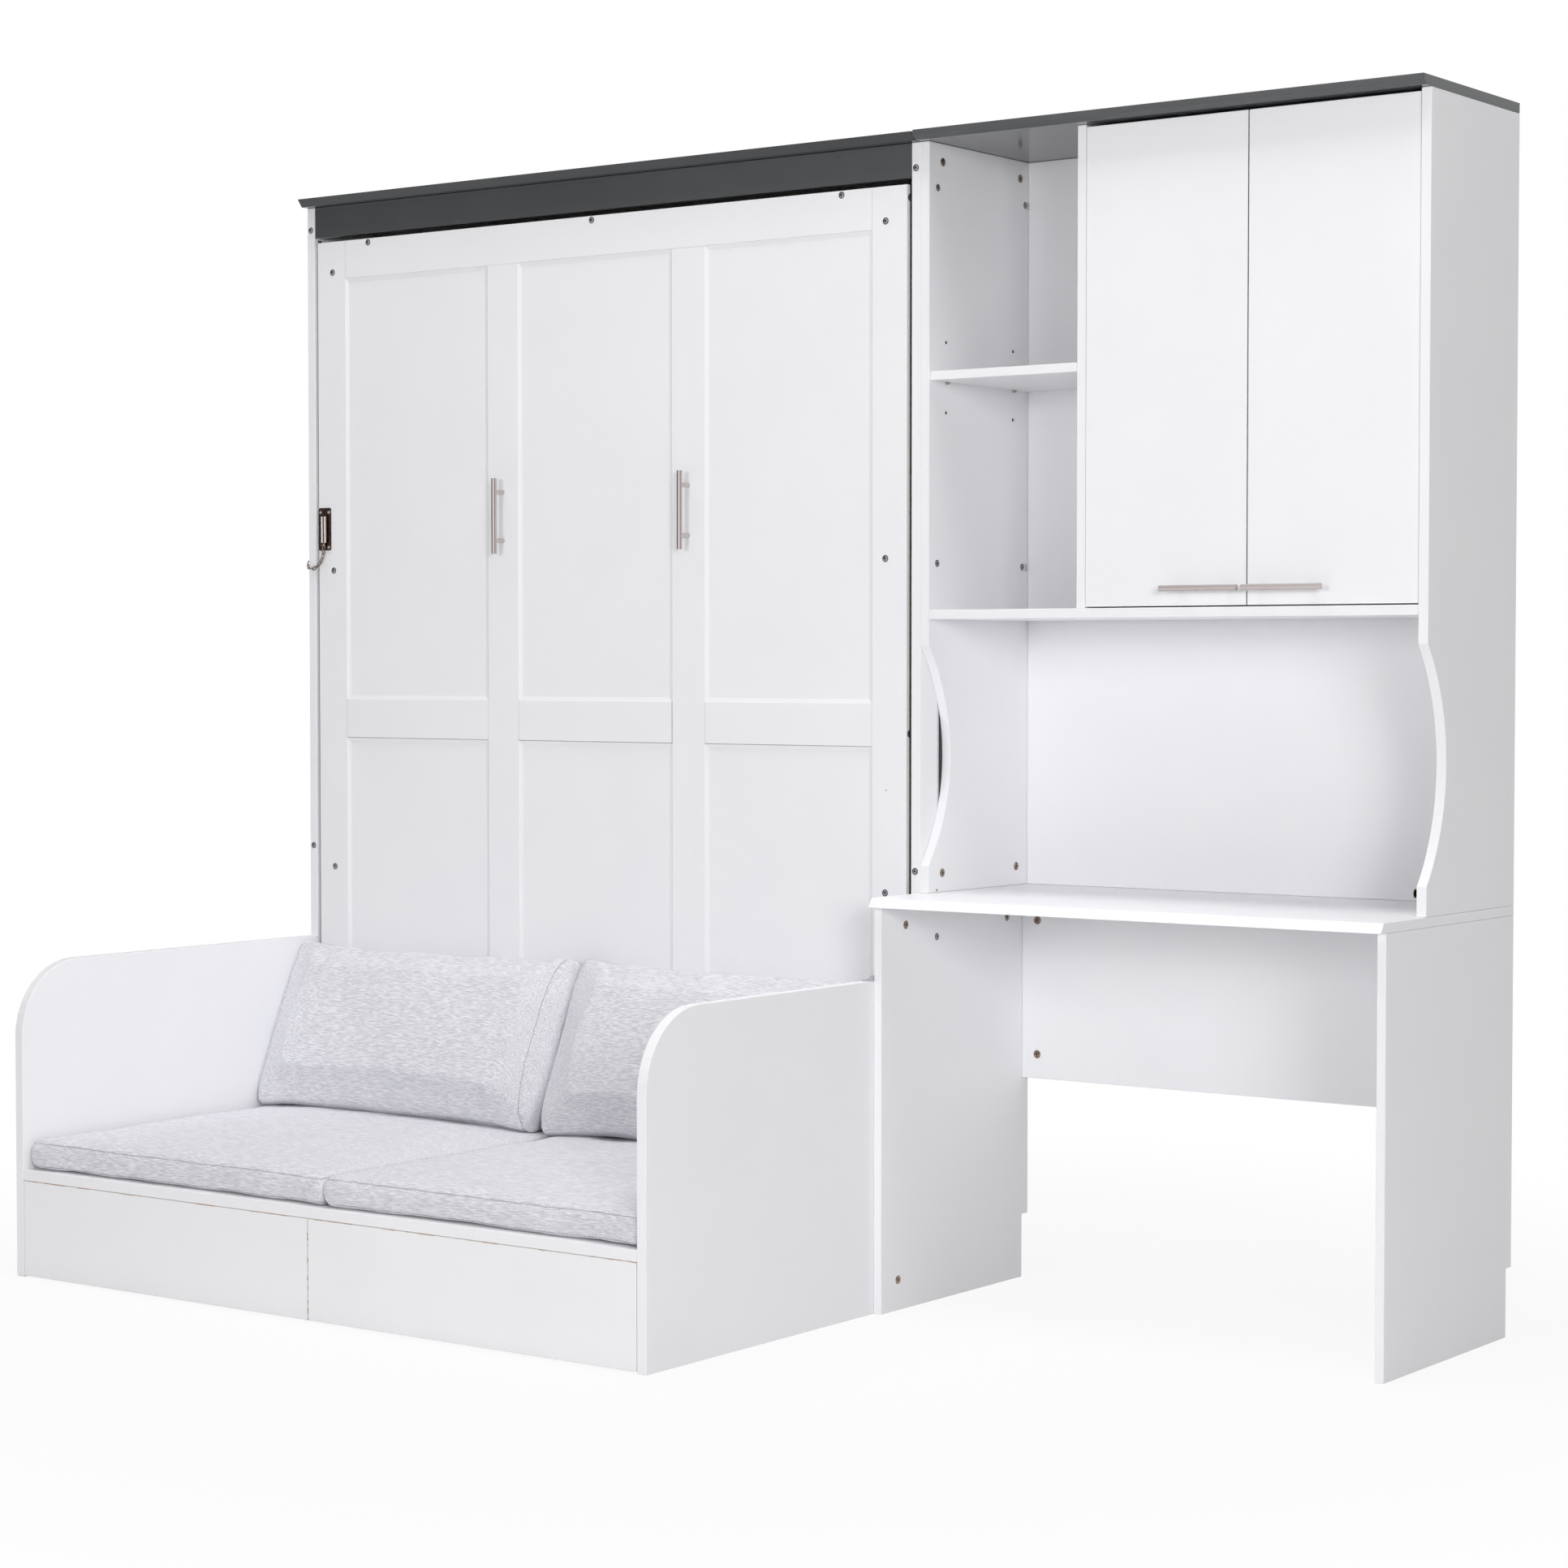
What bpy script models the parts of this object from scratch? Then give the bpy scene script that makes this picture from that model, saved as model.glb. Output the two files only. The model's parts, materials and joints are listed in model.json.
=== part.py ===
"""Wall bed with a sofa, and a desk with a hutch beside it, in one frame.

Metres, +Z up. The origin is at the middle of the floor area that the unit covers.
The bed cabinet is on the -X side, the desk on the +X side, and the wall is at +Y.
"""

import math

import bmesh
import bpy
from mathutils import Matrix, Vector

# Driving sizes
BED_WIDTH = 1.536
DESK_WIDTH = 1.006
CABINET_DEPTH = 0.346
SOFA_DEPTH = 0.802
SIDE_HEIGHT = 2.113
ARM_HEIGHT = 0.600
SEAT_HEIGHT = 0.205
DESK_HEIGHT = 0.750
SKIRT_HEIGHT = 0.120
SKIRT_DEPTH = 0.021

# Boards
BED_BOARD = 0.020
HUTCH_BOARD = 0.018
LEG_BOARD = 0.016
DESK_BOARD = 0.017
SHELF_BOARD = 0.016
CROWN_BOARD = 0.016
BACK_BOARD = 0.009
TOUCH = 0.0003
EDGE_BREAK = 0.0008

# Crown, fascia and hutch top
TOP_OVERHANG = 0.029
CROWN_SLANT = 0.012
CROWN_END_GAP = 0.003
TOP_NOSE = 0.011
TOP_CHAMFER = 0.010
FASCIA_HEIGHT = 0.063
FASCIA_SET_BACK = 0.002
WALL_RAIL_HEIGHT = 0.100

# Bed
PANEL_GAP = 0.010
PANEL_BOTTOM = 0.094
PANEL_TOP_GAP = 0.011
PANEL_BOARD = 0.018
OUTER_STILE = 0.0775
INNER_STILE = 0.080
TOP_BORDER = 0.078
MID_RAIL_TOP = 1.095
MID_RAIL = 0.080
BOTTOM_BORDER = 0.080
RECESS_STEP = 0.0008
RECESS_STEP_WIDTH = 0.0006
RECESS_SLOPE = 0.011
RECESS_SINK = 0.0022
FRAME_DEPTH = 0.140
FRAME_BOARD = 0.018
RAIL_BOARD = 0.020
RAIL_INSET = 0.034
DECK_SET_BACK = 0.042
DECK_BOARD = 0.012
DECK_BORDER = 0.030
DECK_SPINE = 0.060
SLAT_WIDTH = 0.090
SLAT_COUNT = 12

# Bed mechanism
PIVOT_BACK = 0.035
PIVOT_HEIGHT = 0.335
PLATE_STEEL = 0.004
PIN_RADIUS = 0.008
PIN_CLEARANCE = 0.0005
BOSS_RADIUS = 0.0155
BOSS_LENGTH = 0.017
CABINET_PLATE_RADIUS = 0.030
CABINET_PLATE_TIP = 0.024
BED_PLATE_RADIUS = 0.022
BED_PLATE_RISE = 0.070
STRUT_LUG_BACK = 0.070
STRUT_LUG_DROP = 0.160
STRUT_TOP_BACK = 0.140
STRUT_TOP_RISE = 0.500
STRUT_OFFSET = 0.0185
CYLINDER_RADIUS = 0.011
CYLINDER_LENGTH = 0.360
CYLINDER_BORE = 0.0055
CYLINDER_CAP = 0.030
ROD_RADIUS = 0.005
ROD_ENGAGED = 0.040
EYE_RADIUS = 0.0095
EYE_WIDTH = 0.010
STUD_RADIUS = 0.004
STUD_GAP = 0.0004

# Folding support legs
LEG_PIVOT_BACK = 0.105
LEG_PIVOT_DROP = 0.054
LEG_SHORT_ARM = 0.069
LEG_FLOOR_GAP = 0.0005
LEG_BAR_WIDTH = 0.020
LEG_BAR_THICK = 0.012

# Pull handles of the bed and of the doors
BAR_RADIUS = 0.0055
BAR_LENGTH = 0.150
POST_RADIUS = 0.0045
POST_SPACING = 0.096
BAR_STANDOFF = 0.027
BED_BAR_HEIGHT = 1.461
DOOR_BAR_RISE = 0.0295
DOOR_BAR_EDGE = 0.0035

# Chain guard
GUARD_WIDTH = 0.0345
GUARD_HEIGHT = 0.088
GUARD_BOTTOM = 1.403
GUARD_STEEL = 0.0015
GUARD_TRACK_WIDTH = 0.018
GUARD_TRACK_HEIGHT = 0.062
GUARD_TRACK_RISE = 0.0035
GUARD_CORNER = 0.004
ANCHOR_PROUD = 0.005
ANCHOR_STEEL = 0.0015
ANCHOR_WIDTH = 0.018
ANCHOR_HEIGHT = 0.026
ANCHOR_BACK = 0.004
ANCHOR_BOTTOM = 1.372
ANCHOR_STUD_RADIUS = 0.003
CHAIN_RADIUS = 0.0016
CHAIN_DROP = 0.036

# Sofa
ARM_CORNER = 0.141
SEAT_BOARD = 0.020
SEAT_REAR_GAP = 0.003
DIVIDER_BOARD = 0.018
DRAWER_FRONT_BOARD = 0.018
DRAWER_FLOOR_GAP = 0.003
DRAWER_GAP = 0.0015
DRAWER_TOP_GAP = 0.0008
DRAWER_DEPTH = 0.680
DRAWER_BOX_BOTTOM = 0.022
DRAWER_BOX_HEIGHT = 0.130
DRAWER_WALL = 0.012
RUNNER_THICK = 0.0125
RUNNER_HEIGHT = 0.040
RUNNER_LENGTH = 0.600
RUNNER_BOTTOM = 0.050
SLIDE_HEIGHT = 0.018
SLIDE_PROUD = 0.010
SLIDE_CLEARANCE = 0.0004

# Cushions
SEAT_CUSHION_EDGE = 0.054
SEAT_CUSHION_CROWN = 0.015
SEAT_CUSHION_FRONT = 0.010
SEAT_CUSHION_REAR = 0.035
SEAT_CUSHION_SIDE = 0.003
SEAT_CUSHION_SEAM = 0.022
SEAT_CUSHION_GAP = 0.0015
SEAT_CUSHION_CORNER = 0.012
BACK_CUSHION_BETWEEN = 0.037
BACK_CUSHION_HEIGHT = 0.352
BACK_CUSHION_EDGE = 0.056
BACK_CUSHION_CROWN = 0.036
BACK_CUSHION_CORNER = 0.015
BACK_CUSHION_LEFT = 0.009
BACK_CUSHION_RIGHT = 0.006
BACK_CUSHION_LEAN = math.radians(24)
BACK_CUSHION_SINK = 0.0007
BACK_CUSHION_PRESS = 0.012
CUSHION_REST_GAP = 0.0006
LIFT_OUT_PIVOT_FORWARD = 1.000
LIFT_OUT_PIVOT_DROP = 0.413

# Desk and hutch
DESK_LEG_FRONT = 0.147
DESK_TOP_FRONT = 0.155
DESK_TOP_CHAMFER = 0.012
MODESTY_SET_BACK = 0.022
MODESTY_BOARD = 0.016
MODESTY_BOTTOM = 0.382
HUTCH_FLOOR_TOP = 1.266
SHELF_TOP = 1.698
SHELF_SET_BACK = 0.004
DIVIDER_LEFT = 0.326
DIVIDER_SET_BACK = 0.008
CUT_RISE = 0.050
CUT_DROP = 0.065
CUT_DEPTH = 0.072
DOOR_BOARD = 0.015
DOOR_SET_BACK = 0.005
DOOR_GAP = 0.0022
DOOR_FLOOR_GAP = 0.0025
DOOR_TOP_GAP = 0.005
HINGE_INSET = 0.110
HINGE_HEIGHT = 0.014
HINGE_THICK = 0.010
HINGE_ARM_LENGTH = 0.040
HINGE_ARM_REACH = 0.024
HINGE_CUP_RADIUS = 0.0175
HINGE_CUP_RISE = 0.003

# Bracket that joins the right arm to the desk
BRACKET_STEEL = 0.002
BRACKET_LENGTH = 0.030
BRACKET_WIDTH = 0.018
BRACKET_RISE = 0.010
BRACKET_FRONT = 0.158

# Counts of facets
ROUND_SIDES = 24
CORNER_STEPS = 10
CUT_STEPS = 20
CUSHION_SIDE_STEPS = 9
CUSHION_CORNER_STEPS = 3
CUSHION_RING_SHARES = (0.97, 0.90, 0.76, 0.56, 0.30)

# Shares of a cushion's own sizes: how far its sides draw in, and how its edge band bulges
DRAW_IN_SHARE = 0.016
BAND_BULGE_SHARE = 0.10
SEAM_PINCH_SHARE = 0.06
CROWN_POWER_SHARE = 0.55

# A face counts as facing forward when more than this share of its normal does
FACING_SHARE = 0.5

# Places that follow from the sizes above
total_width = ANCHOR_PROUD + BED_WIDTH + DESK_WIDTH
left_x = ANCHOR_PROUD - total_width / 2
split_x = left_x + BED_WIDTH
right_x = split_x + DESK_WIDTH
total_depth = CABINET_DEPTH + SOFA_DEPTH
wall_y = total_depth / 2
face_y = wall_y - CABINET_DEPTH
sofa_front_y = -total_depth / 2
bed_inner_left = left_x + BED_BOARD
bed_inner_right = split_x - BED_BOARD
bed_middle_x = (left_x + split_x) / 2
fascia_bottom = SIDE_HEIGHT - FASCIA_HEIGHT
panel_top = fascia_bottom - PANEL_TOP_GAP
panel_left = bed_inner_left + PANEL_GAP
panel_right = bed_inner_right - PANEL_GAP
rail_outer = PANEL_GAP + RAIL_INSET
frame_front_y = face_y + PANEL_BOARD + TOUCH
frame_rear_y = face_y + FRAME_DEPTH
pivot_y = face_y + PIVOT_BACK
pivot_z = PIVOT_HEIGHT
back_cushions_left = bed_inner_left + BACK_CUSHION_LEFT
back_cushions_right = bed_inner_right - BACK_CUSHION_RIGHT
back_cushion_width = (back_cushions_right - back_cushions_left - BACK_CUSHION_BETWEEN) / 2
back_front_y = wall_y - BACK_BOARD
seat_underside = SEAT_HEIGHT - SEAT_BOARD


def material(name, colour, roughness, metallic=0.0):
    """A Principled material; the colour is linear red, green and blue."""
    made = bpy.data.materials.new(name)
    made.use_nodes = True
    shader = made.node_tree.nodes["Principled BSDF"]
    shader.inputs["Base Color"].default_value = (*colour, 1.0)
    shader.inputs["Roughness"].default_value = roughness
    shader.inputs["Metallic"].default_value = metallic
    return made


def object_from(name, mesh_builder, finish):
    """Turns a bmesh into a named object with one material and outward faces."""
    bmesh.ops.recalc_face_normals(mesh_builder, faces=mesh_builder.faces)
    mesh = bpy.data.meshes.new(name)
    mesh_builder.to_mesh(mesh)
    mesh_builder.free()
    made = bpy.data.objects.new(name, mesh)
    bpy.context.scene.collection.objects.link(made)
    made.data.materials.append(finish)
    return made


def box_mesh(low, high):
    builder = bmesh.new()
    bmesh.ops.create_cube(builder, size=1.0)
    size = Vector(high) - Vector(low)
    middle = (Vector(high) + Vector(low)) / 2
    place = Matrix.Translation(middle) @ Matrix.Diagonal((*size, 1.0))
    bmesh.ops.transform(builder, matrix=place, verts=builder.verts)
    return builder


def break_edges(made, width=EDGE_BREAK):
    """A narrow chamfer along every sharp edge, as edged boards have."""
    bevel = made.modifiers.new("edge_break", "BEVEL")
    bevel.width = width
    bevel.segments = 1
    bevel.limit_method = "ANGLE"
    return made


def board(name, low, high, finish):
    return break_edges(object_from(name, box_mesh(low, high), finish))


def to_space(axis, along, first, second):
    """A point from its place along an axis and its two coordinates across it, in X, Y, Z order."""
    return {"x": (along, first, second), "y": (first, along, second), "z": (first, second, along)}[axis]


def prism_mesh(outline, axis, start, end):
    """An outline of two coordinates, extruded along an axis from start to end."""
    builder = bmesh.new()
    corners = [builder.verts.new(to_space(axis, start, *point)) for point in outline]
    face = builder.faces.new(corners)
    grown = bmesh.ops.extrude_face_region(builder, geom=[face])["geom"]
    moved = [item for item in grown if isinstance(item, bmesh.types.BMVert)]
    bmesh.ops.translate(builder, verts=moved, vec=to_space(axis, end - start, 0, 0))
    return builder


def prism(name, outline, axis, start, end, finish):
    return break_edges(object_from(name, prism_mesh(outline, axis, start, end), finish))


def arc(middle, radius, start, end, steps):
    """Points on an arc from one angle to another, ends included."""
    angles = [start + (end - start) * step / steps for step in range(steps + 1)]
    return [
        (middle[0] + radius * math.cos(angle), middle[1] + radius * math.sin(angle)) for angle in angles
    ]


def circle(middle, radius, sides=ROUND_SIDES):
    return arc(middle, radius, 0, 2 * math.pi, sides)[:-1]


def rod_between(start, end, radius, sides=ROUND_SIDES):
    """A round bar from one point to another."""
    start, end = Vector(start), Vector(end)
    builder = bmesh.new()
    bmesh.ops.create_cone(
        builder, cap_ends=True, segments=sides, radius1=radius, radius2=radius, depth=(end - start).length
    )
    turn = (end - start).to_track_quat("Z", "Y").to_matrix().to_4x4()
    bmesh.ops.transform(builder, matrix=Matrix.Translation((start + end) / 2) @ turn, verts=builder.verts)
    return builder


def hull_outline(circles):
    """The convex outline round several circles, each a middle and a radius."""
    points = sorted({point for middle, radius in circles for point in circle(middle, radius)})

    def half(ordered):
        chain = []
        for point in ordered:
            while len(chain) > 1 and turn_of(chain[-2], chain[-1], point) <= 0:
                chain.pop()
            chain.append(point)
        return chain[:-1]

    return half(points) + half(reversed(points))


def turn_of(first, second, third):
    return (second[0] - first[0]) * (third[1] - first[1]) - (second[1] - first[1]) * (third[0] - first[0])


def combine(base, tools, operation):
    """Joins to, or cuts from, the base each of the tools, and keeps the result as the base's own mesh."""
    for tool in tools:
        change = base.modifiers.new(operation.lower(), "BOOLEAN")
        change.operation = operation
        change.solver = "EXACT"
        change.object = tool
    bpy.context.view_layer.update()
    graph = bpy.context.evaluated_depsgraph_get()
    result = bpy.data.meshes.new_from_object(base.evaluated_get(graph))
    base.modifiers.clear()
    base.data = result
    for tool in tools:
        bpy.data.objects.remove(tool, do_unlink=True)
    return base


def tools_of(builders, finish):
    return [object_from("tool", builder, finish) for builder in builders]


def shade_round(made):
    made.data.shade_smooth()
    made.data.set_sharp_from_angle(angle=math.radians(35))
    return made


def hang_on(made, place):
    """Puts the object's origin on its joint's axis without moving its shape."""
    made.data.transform(Matrix.Translation(-Vector(place)))
    made.location = place
    return made


def side_x(side, distance):
    """The X at a distance from a bed side's inner face, on the left (-1) or the right (1)."""
    return bed_inner_left + distance if side < 0 else bed_inner_right - distance


def ordered(first, second):
    return (first, second) if first < second else (second, first)


SIDES = (("left", -1), ("right", 1))


def side_outline(front, rear, top):
    """A side board seen from its side, with a notch at the rear for the skirting."""
    return [
        (front, 0),
        (rear - SKIRT_DEPTH, 0),
        (rear - SKIRT_DEPTH, SKIRT_HEIGHT),
        (rear, SKIRT_HEIGHT),
        (rear, top),
        (front, top),
    ]


def make_bed_cabinet():
    outline = side_outline(face_y, wall_y, SIDE_HEIGHT)
    prism("bed_side_left", outline, "x", left_x, bed_inner_left, WHITE)
    prism("bed_side_right", outline, "x", bed_inner_right, split_x - TOUCH, WHITE)
    crown_front = face_y - TOP_OVERHANG
    crown_bottom = SIDE_HEIGHT + TOUCH
    crown_top = SIDE_HEIGHT + CROWN_BOARD
    crown = [
        (crown_front, crown_top),
        (crown_front + CROWN_SLANT, crown_bottom),
        (wall_y, crown_bottom),
        (wall_y, crown_top),
    ]
    prism("bed_crown", crown, "x", left_x, split_x - CROWN_END_GAP, GREY)
    inner_low = bed_inner_left + TOUCH
    inner_high = bed_inner_right - TOUCH
    fascia_front = face_y + FASCIA_SET_BACK
    board(
        "bed_fascia",
        (inner_low, fascia_front, fascia_bottom),
        (inner_high, fascia_front + FRAME_BOARD, SIDE_HEIGHT),
        GREY,
    )
    rail_bottom = SIDE_HEIGHT - WALL_RAIL_HEIGHT
    board(
        "bed_wall_rail",
        (inner_low, wall_y - FRAME_BOARD, rail_bottom),
        (inner_high, wall_y, SIDE_HEIGHT),
        WHITE,
    )
    board(
        "bed_back_panel",
        (inner_low, back_front_y, SKIRT_HEIGHT),
        (inner_high, wall_y, rail_bottom - TOUCH),
        WHITE,
    )


def recess_lines():
    """The X and Z lines of the panel's recesses: three columns between stiles, two rows between rails."""
    inner = panel_right - panel_left - 2 * OUTER_STILE - 2 * INNER_STILE
    column = inner / 3
    starts = [panel_left + OUTER_STILE + index * (column + INNER_STILE) for index in range(3)]
    columns = [(start, start + column) for start in starts]
    rows = [(PANEL_BOTTOM + BOTTOM_BORDER, MID_RAIL_TOP - MID_RAIL), (MID_RAIL_TOP, panel_top - TOP_BORDER)]
    return columns, rows


def make_face_panel():
    """The moulded panel: each recess has a fine step, then a slope down to its flat field."""
    builder = box_mesh((panel_left, face_y, PANEL_BOTTOM), (panel_right, face_y + PANEL_BOARD, panel_top))
    columns, rows = recess_lines()
    cuts = [((x, 0, 0), (1, 0, 0)) for pair in columns for x in pair]
    cuts += [((0, 0, z), (0, 0, 1)) for pair in rows for z in pair]
    for place, normal in cuts:
        everything = builder.verts[:] + builder.edges[:] + builder.faces[:]
        bmesh.ops.bisect_plane(builder, geom=everything, plane_co=place, plane_no=normal)
    fields = [
        face
        for face in builder.faces
        if face.normal.y < -FACING_SHARE
        and any(low < face.calc_center_median().x < high for low, high in columns)
        and any(low < face.calc_center_median().z < high for low, high in rows)
    ]
    bmesh.ops.inset_individual(builder, faces=fields, thickness=RECESS_STEP_WIDTH, depth=-RECESS_STEP)
    bmesh.ops.inset_individual(builder, faces=fields, thickness=RECESS_SLOPE, depth=-RECESS_SINK)
    hang_on(object_from("bed_face_panel", builder, WHITE), BED_PIVOT)


def make_bed_frame():
    for name, side in SIDES:
        low, high = ordered(side_x(side, rail_outer), side_x(side, rail_outer + RAIL_BOARD))
        rail = board(
            f"bed_rail_{name}", (low, frame_front_y, PANEL_BOTTOM), (high, frame_rear_y, panel_top), WHITE
        )
        hang_on(rail, BED_PIVOT)
    inner_low = side_x(-1, rail_outer + RAIL_BOARD) + TOUCH
    inner_high = side_x(1, rail_outer + RAIL_BOARD) - TOUCH
    for name, low, high in (
        ("bed_head_rail", PANEL_BOTTOM, PANEL_BOTTOM + FRAME_BOARD),
        ("bed_foot_rail", panel_top - FRAME_BOARD, panel_top),
    ):
        rail = board(name, (inner_low, frame_front_y, low), (inner_high, frame_rear_y, high), WHITE)
        hang_on(rail, BED_PIVOT)
    deck_low = PANEL_BOTTOM + FRAME_BOARD + TOUCH
    deck_high = panel_top - FRAME_BOARD - TOUCH
    hang_on(slat_deck(inner_low, inner_high, deck_low, deck_high), BED_PIVOT)


def slat_deck(low_x, high_x, low_z, high_z):
    """Cross slats held by two side strips and a spine, with even gaps, as one open plate."""
    middle = (low_x + high_x) / 2
    columns = [
        low_x,
        low_x + DECK_BORDER,
        middle - DECK_SPINE / 2,
        middle + DECK_SPINE / 2,
        high_x - DECK_BORDER,
        high_x,
    ]
    gap = (high_z - low_z - SLAT_COUNT * SLAT_WIDTH) / (SLAT_COUNT - 1)
    rows = []
    for index in range(SLAT_COUNT):
        start = low_z + index * (SLAT_WIDTH + gap)
        rows += [start, start + SLAT_WIDTH]
    front = face_y + PANEL_BOARD + DECK_SET_BACK
    builder = bmesh.new()
    corners = [[builder.verts.new((x, front, z)) for x in columns] for z in rows]
    for row in range(len(rows) - 1):
        for column in range(len(columns) - 1):
            if row % 2 and column % 2:
                continue
            near, far = corners[row], corners[row + 1]
            builder.faces.new((near[column], near[column + 1], far[column + 1], far[column]))
    grown = bmesh.ops.extrude_face_region(builder, geom=builder.faces[:])["geom"]
    moved = [item for item in grown if isinstance(item, bmesh.types.BMVert)]
    bmesh.ops.translate(builder, verts=moved, vec=(0, DECK_BOARD, 0))
    return object_from("bed_slat_deck", builder, BIRCH)


def make_pivot_plates():
    """The fixed plate carries the main pin and the strut's stud; the bed's plate has the bush and a lug."""
    pivot = (pivot_y, pivot_z)
    strut_top = (pivot_y + STRUT_TOP_BACK, pivot_z + STRUT_TOP_RISE)
    lug = (pivot_y + STRUT_LUG_BACK, pivot_z - STRUT_LUG_DROP)
    knee = (pivot_y + STRUT_LUG_BACK, pivot_z + BED_PLATE_RISE)
    bed_plate_outer = rail_outer - TOUCH - PLATE_STEEL
    for name, side in SIDES:
        plate_ends = ordered(side_x(side, TOUCH), side_x(side, TOUCH + PLATE_STEEL))
        foot = (pivot_y + STRUT_TOP_BACK - CABINET_PLATE_TIP, pivot_z)
        outline = hull_outline(
            [(pivot, CABINET_PLATE_RADIUS), (foot, CABINET_PLATE_RADIUS), (strut_top, CABINET_PLATE_TIP)]
        )
        fixed = object_from(f"cabinet_pivot_plate_{name}", prism_mesh(outline, "x", *plate_ends), STEEL)
        start = side_x(side, TOUCH + PLATE_STEEL / 2)
        pin_end = side_x(side, rail_outer - TOUCH - PIN_CLEARANCE)
        stud_end = side_x(side, STRUT_OFFSET + EYE_WIDTH / 2)
        pins = [
            rod_between((start, *pivot), (pin_end, *pivot), PIN_RADIUS),
            rod_between((start, *strut_top), (stud_end, *strut_top), STUD_RADIUS),
        ]
        shade_round(combine(fixed, tools_of(pins, STEEL), "UNION"))

        outline = hull_outline([(pivot, BOSS_RADIUS), (knee, BED_PLATE_RADIUS), (lug, BED_PLATE_RADIUS)])
        plate_ends = ordered(side_x(side, bed_plate_outer), side_x(side, bed_plate_outer + PLATE_STEEL))
        moving = object_from(f"bed_pivot_plate_{name}", prism_mesh(outline, "x", *plate_ends), STEEL)
        start = side_x(side, bed_plate_outer + PLATE_STEEL / 2)
        boss_end = side_x(side, bed_plate_outer - BOSS_LENGTH)
        lug_end = side_x(side, STRUT_OFFSET + EYE_WIDTH / 2 + STUD_GAP)
        joined = [
            rod_between((start, *pivot), (boss_end, *pivot), BOSS_RADIUS),
            rod_between((start, *lug), (lug_end, *lug), STUD_RADIUS),
        ]
        combine(moving, tools_of(joined, STEEL), "UNION")
        bore = rod_between(
            (side_x(side, bed_plate_outer - 2 * BOSS_LENGTH), *pivot),
            (side_x(side, rail_outer + PLATE_STEEL), *pivot),
            PIN_RADIUS + PIN_CLEARANCE,
        )
        combine(moving, tools_of([bore], STEEL), "DIFFERENCE")
        hang_on(shade_round(moving), BED_PIVOT)


def make_gas_struts():
    """Each cylinder hangs from the fixed plate's stud; its rod reaches the lug of the bed's plate."""
    top = Vector((0, pivot_y + STRUT_TOP_BACK, pivot_z + STRUT_TOP_RISE))
    lug = Vector((0, pivot_y + STRUT_LUG_BACK, pivot_z - STRUT_LUG_DROP))
    down = (lug - top).normalized()
    for name, side in SIDES:
        middle = Vector((side_x(side, STRUT_OFFSET), 0, 0))
        across = Vector((EYE_WIDTH / 2, 0, 0))
        barrel_top = middle + top + down * EYE_RADIUS
        barrel_end = middle + top + down * CYLINDER_LENGTH
        cylinder = object_from(
            f"strut_cylinder_{name}", rod_between(barrel_top, barrel_end, CYLINDER_RADIUS), BLACK_STEEL
        )
        eye = rod_between(middle + top - across, middle + top + across, EYE_RADIUS)
        neck_start = middle + top + down * (STUD_RADIUS + EYE_WIDTH / 2)
        neck = rod_between(neck_start, barrel_top + down * EYE_RADIUS, EYE_WIDTH / 2)
        combine(cylinder, tools_of([neck], BLACK_STEEL), "UNION")
        combine(cylinder, tools_of([eye], BLACK_STEEL), "UNION")
        hole = rod_between(middle + top - 2 * across, middle + top + 2 * across, STUD_RADIUS + PIN_CLEARANCE)
        bore_top = middle + top + down * (EYE_RADIUS + CYLINDER_CAP)
        bore = rod_between(bore_top, barrel_end + down * CYLINDER_CAP, CYLINDER_BORE)
        combine(cylinder, tools_of([hole, bore], BLACK_STEEL), "DIFFERENCE")
        hang_on(shade_round(cylinder), middle + top)

        rod_top = barrel_end - down * ROD_ENGAGED
        rod_end = middle + lug
        rod = object_from(f"strut_rod_{name}", rod_between(rod_top, rod_end, ROD_RADIUS), STEEL)
        eye = rod_between(rod_end - across, rod_end + across, EYE_RADIUS)
        combine(rod, tools_of([eye], STEEL), "UNION")
        hang_on(shade_round(rod), rod_end)


def make_support_legs():
    """L-shaped bars on the side rails, stored along them, that swing over the foot end to the floor."""
    pivot = Vector((0, face_y + LEG_PIVOT_BACK, panel_top - LEG_PIVOT_DROP))
    half = LEG_BAR_WIDTH / 2
    foot_drop = PIVOT_HEIGHT - PIVOT_BACK + LEG_PIVOT_BACK - LEG_FLOOR_GAP
    corner_y = pivot.y - LEG_SHORT_ARM
    foot_z = pivot.z - foot_drop
    outline = [
        *arc((pivot.y, pivot.z), half, math.pi / 2, -math.pi / 2, CORNER_STEPS),
        (corner_y + half, pivot.z - half),
        (corner_y + half, foot_z),
        (corner_y - half, foot_z),
        (corner_y - half, pivot.z + half),
    ]
    for name, side in SIDES:
        ends = ordered(side_x(side, rail_outer - TOUCH - LEG_BAR_THICK), side_x(side, rail_outer - TOUCH))
        leg = prism(f"support_leg_{name}", outline, "x", *ends, BLACK_STEEL)
        hang_on(leg, (sum(ends) / 2, pivot.y, pivot.z))


def bar_handle(name, middle, along, origin):
    """A round bar on two posts that stand on a front face at `middle`, which is on that face."""
    middle = Vector(middle)
    along = Vector(along)
    out = Vector((0, -BAR_STANDOFF, 0))
    bar = object_from(
        name,
        rod_between(middle + out - along * BAR_LENGTH / 2, middle + out + along * BAR_LENGTH / 2, BAR_RADIUS),
        BRUSHED,
    )
    clear = Vector((0, -TOUCH, 0))
    feet = [middle + along * (POST_SPACING / 2) * way for way in (-1, 1)]
    posts = [rod_between(foot + clear, foot + out, POST_RADIUS) for foot in feet]
    combine(bar, tools_of(posts, BRUSHED), "UNION")
    return hang_on(shade_round(bar), origin)


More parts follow.
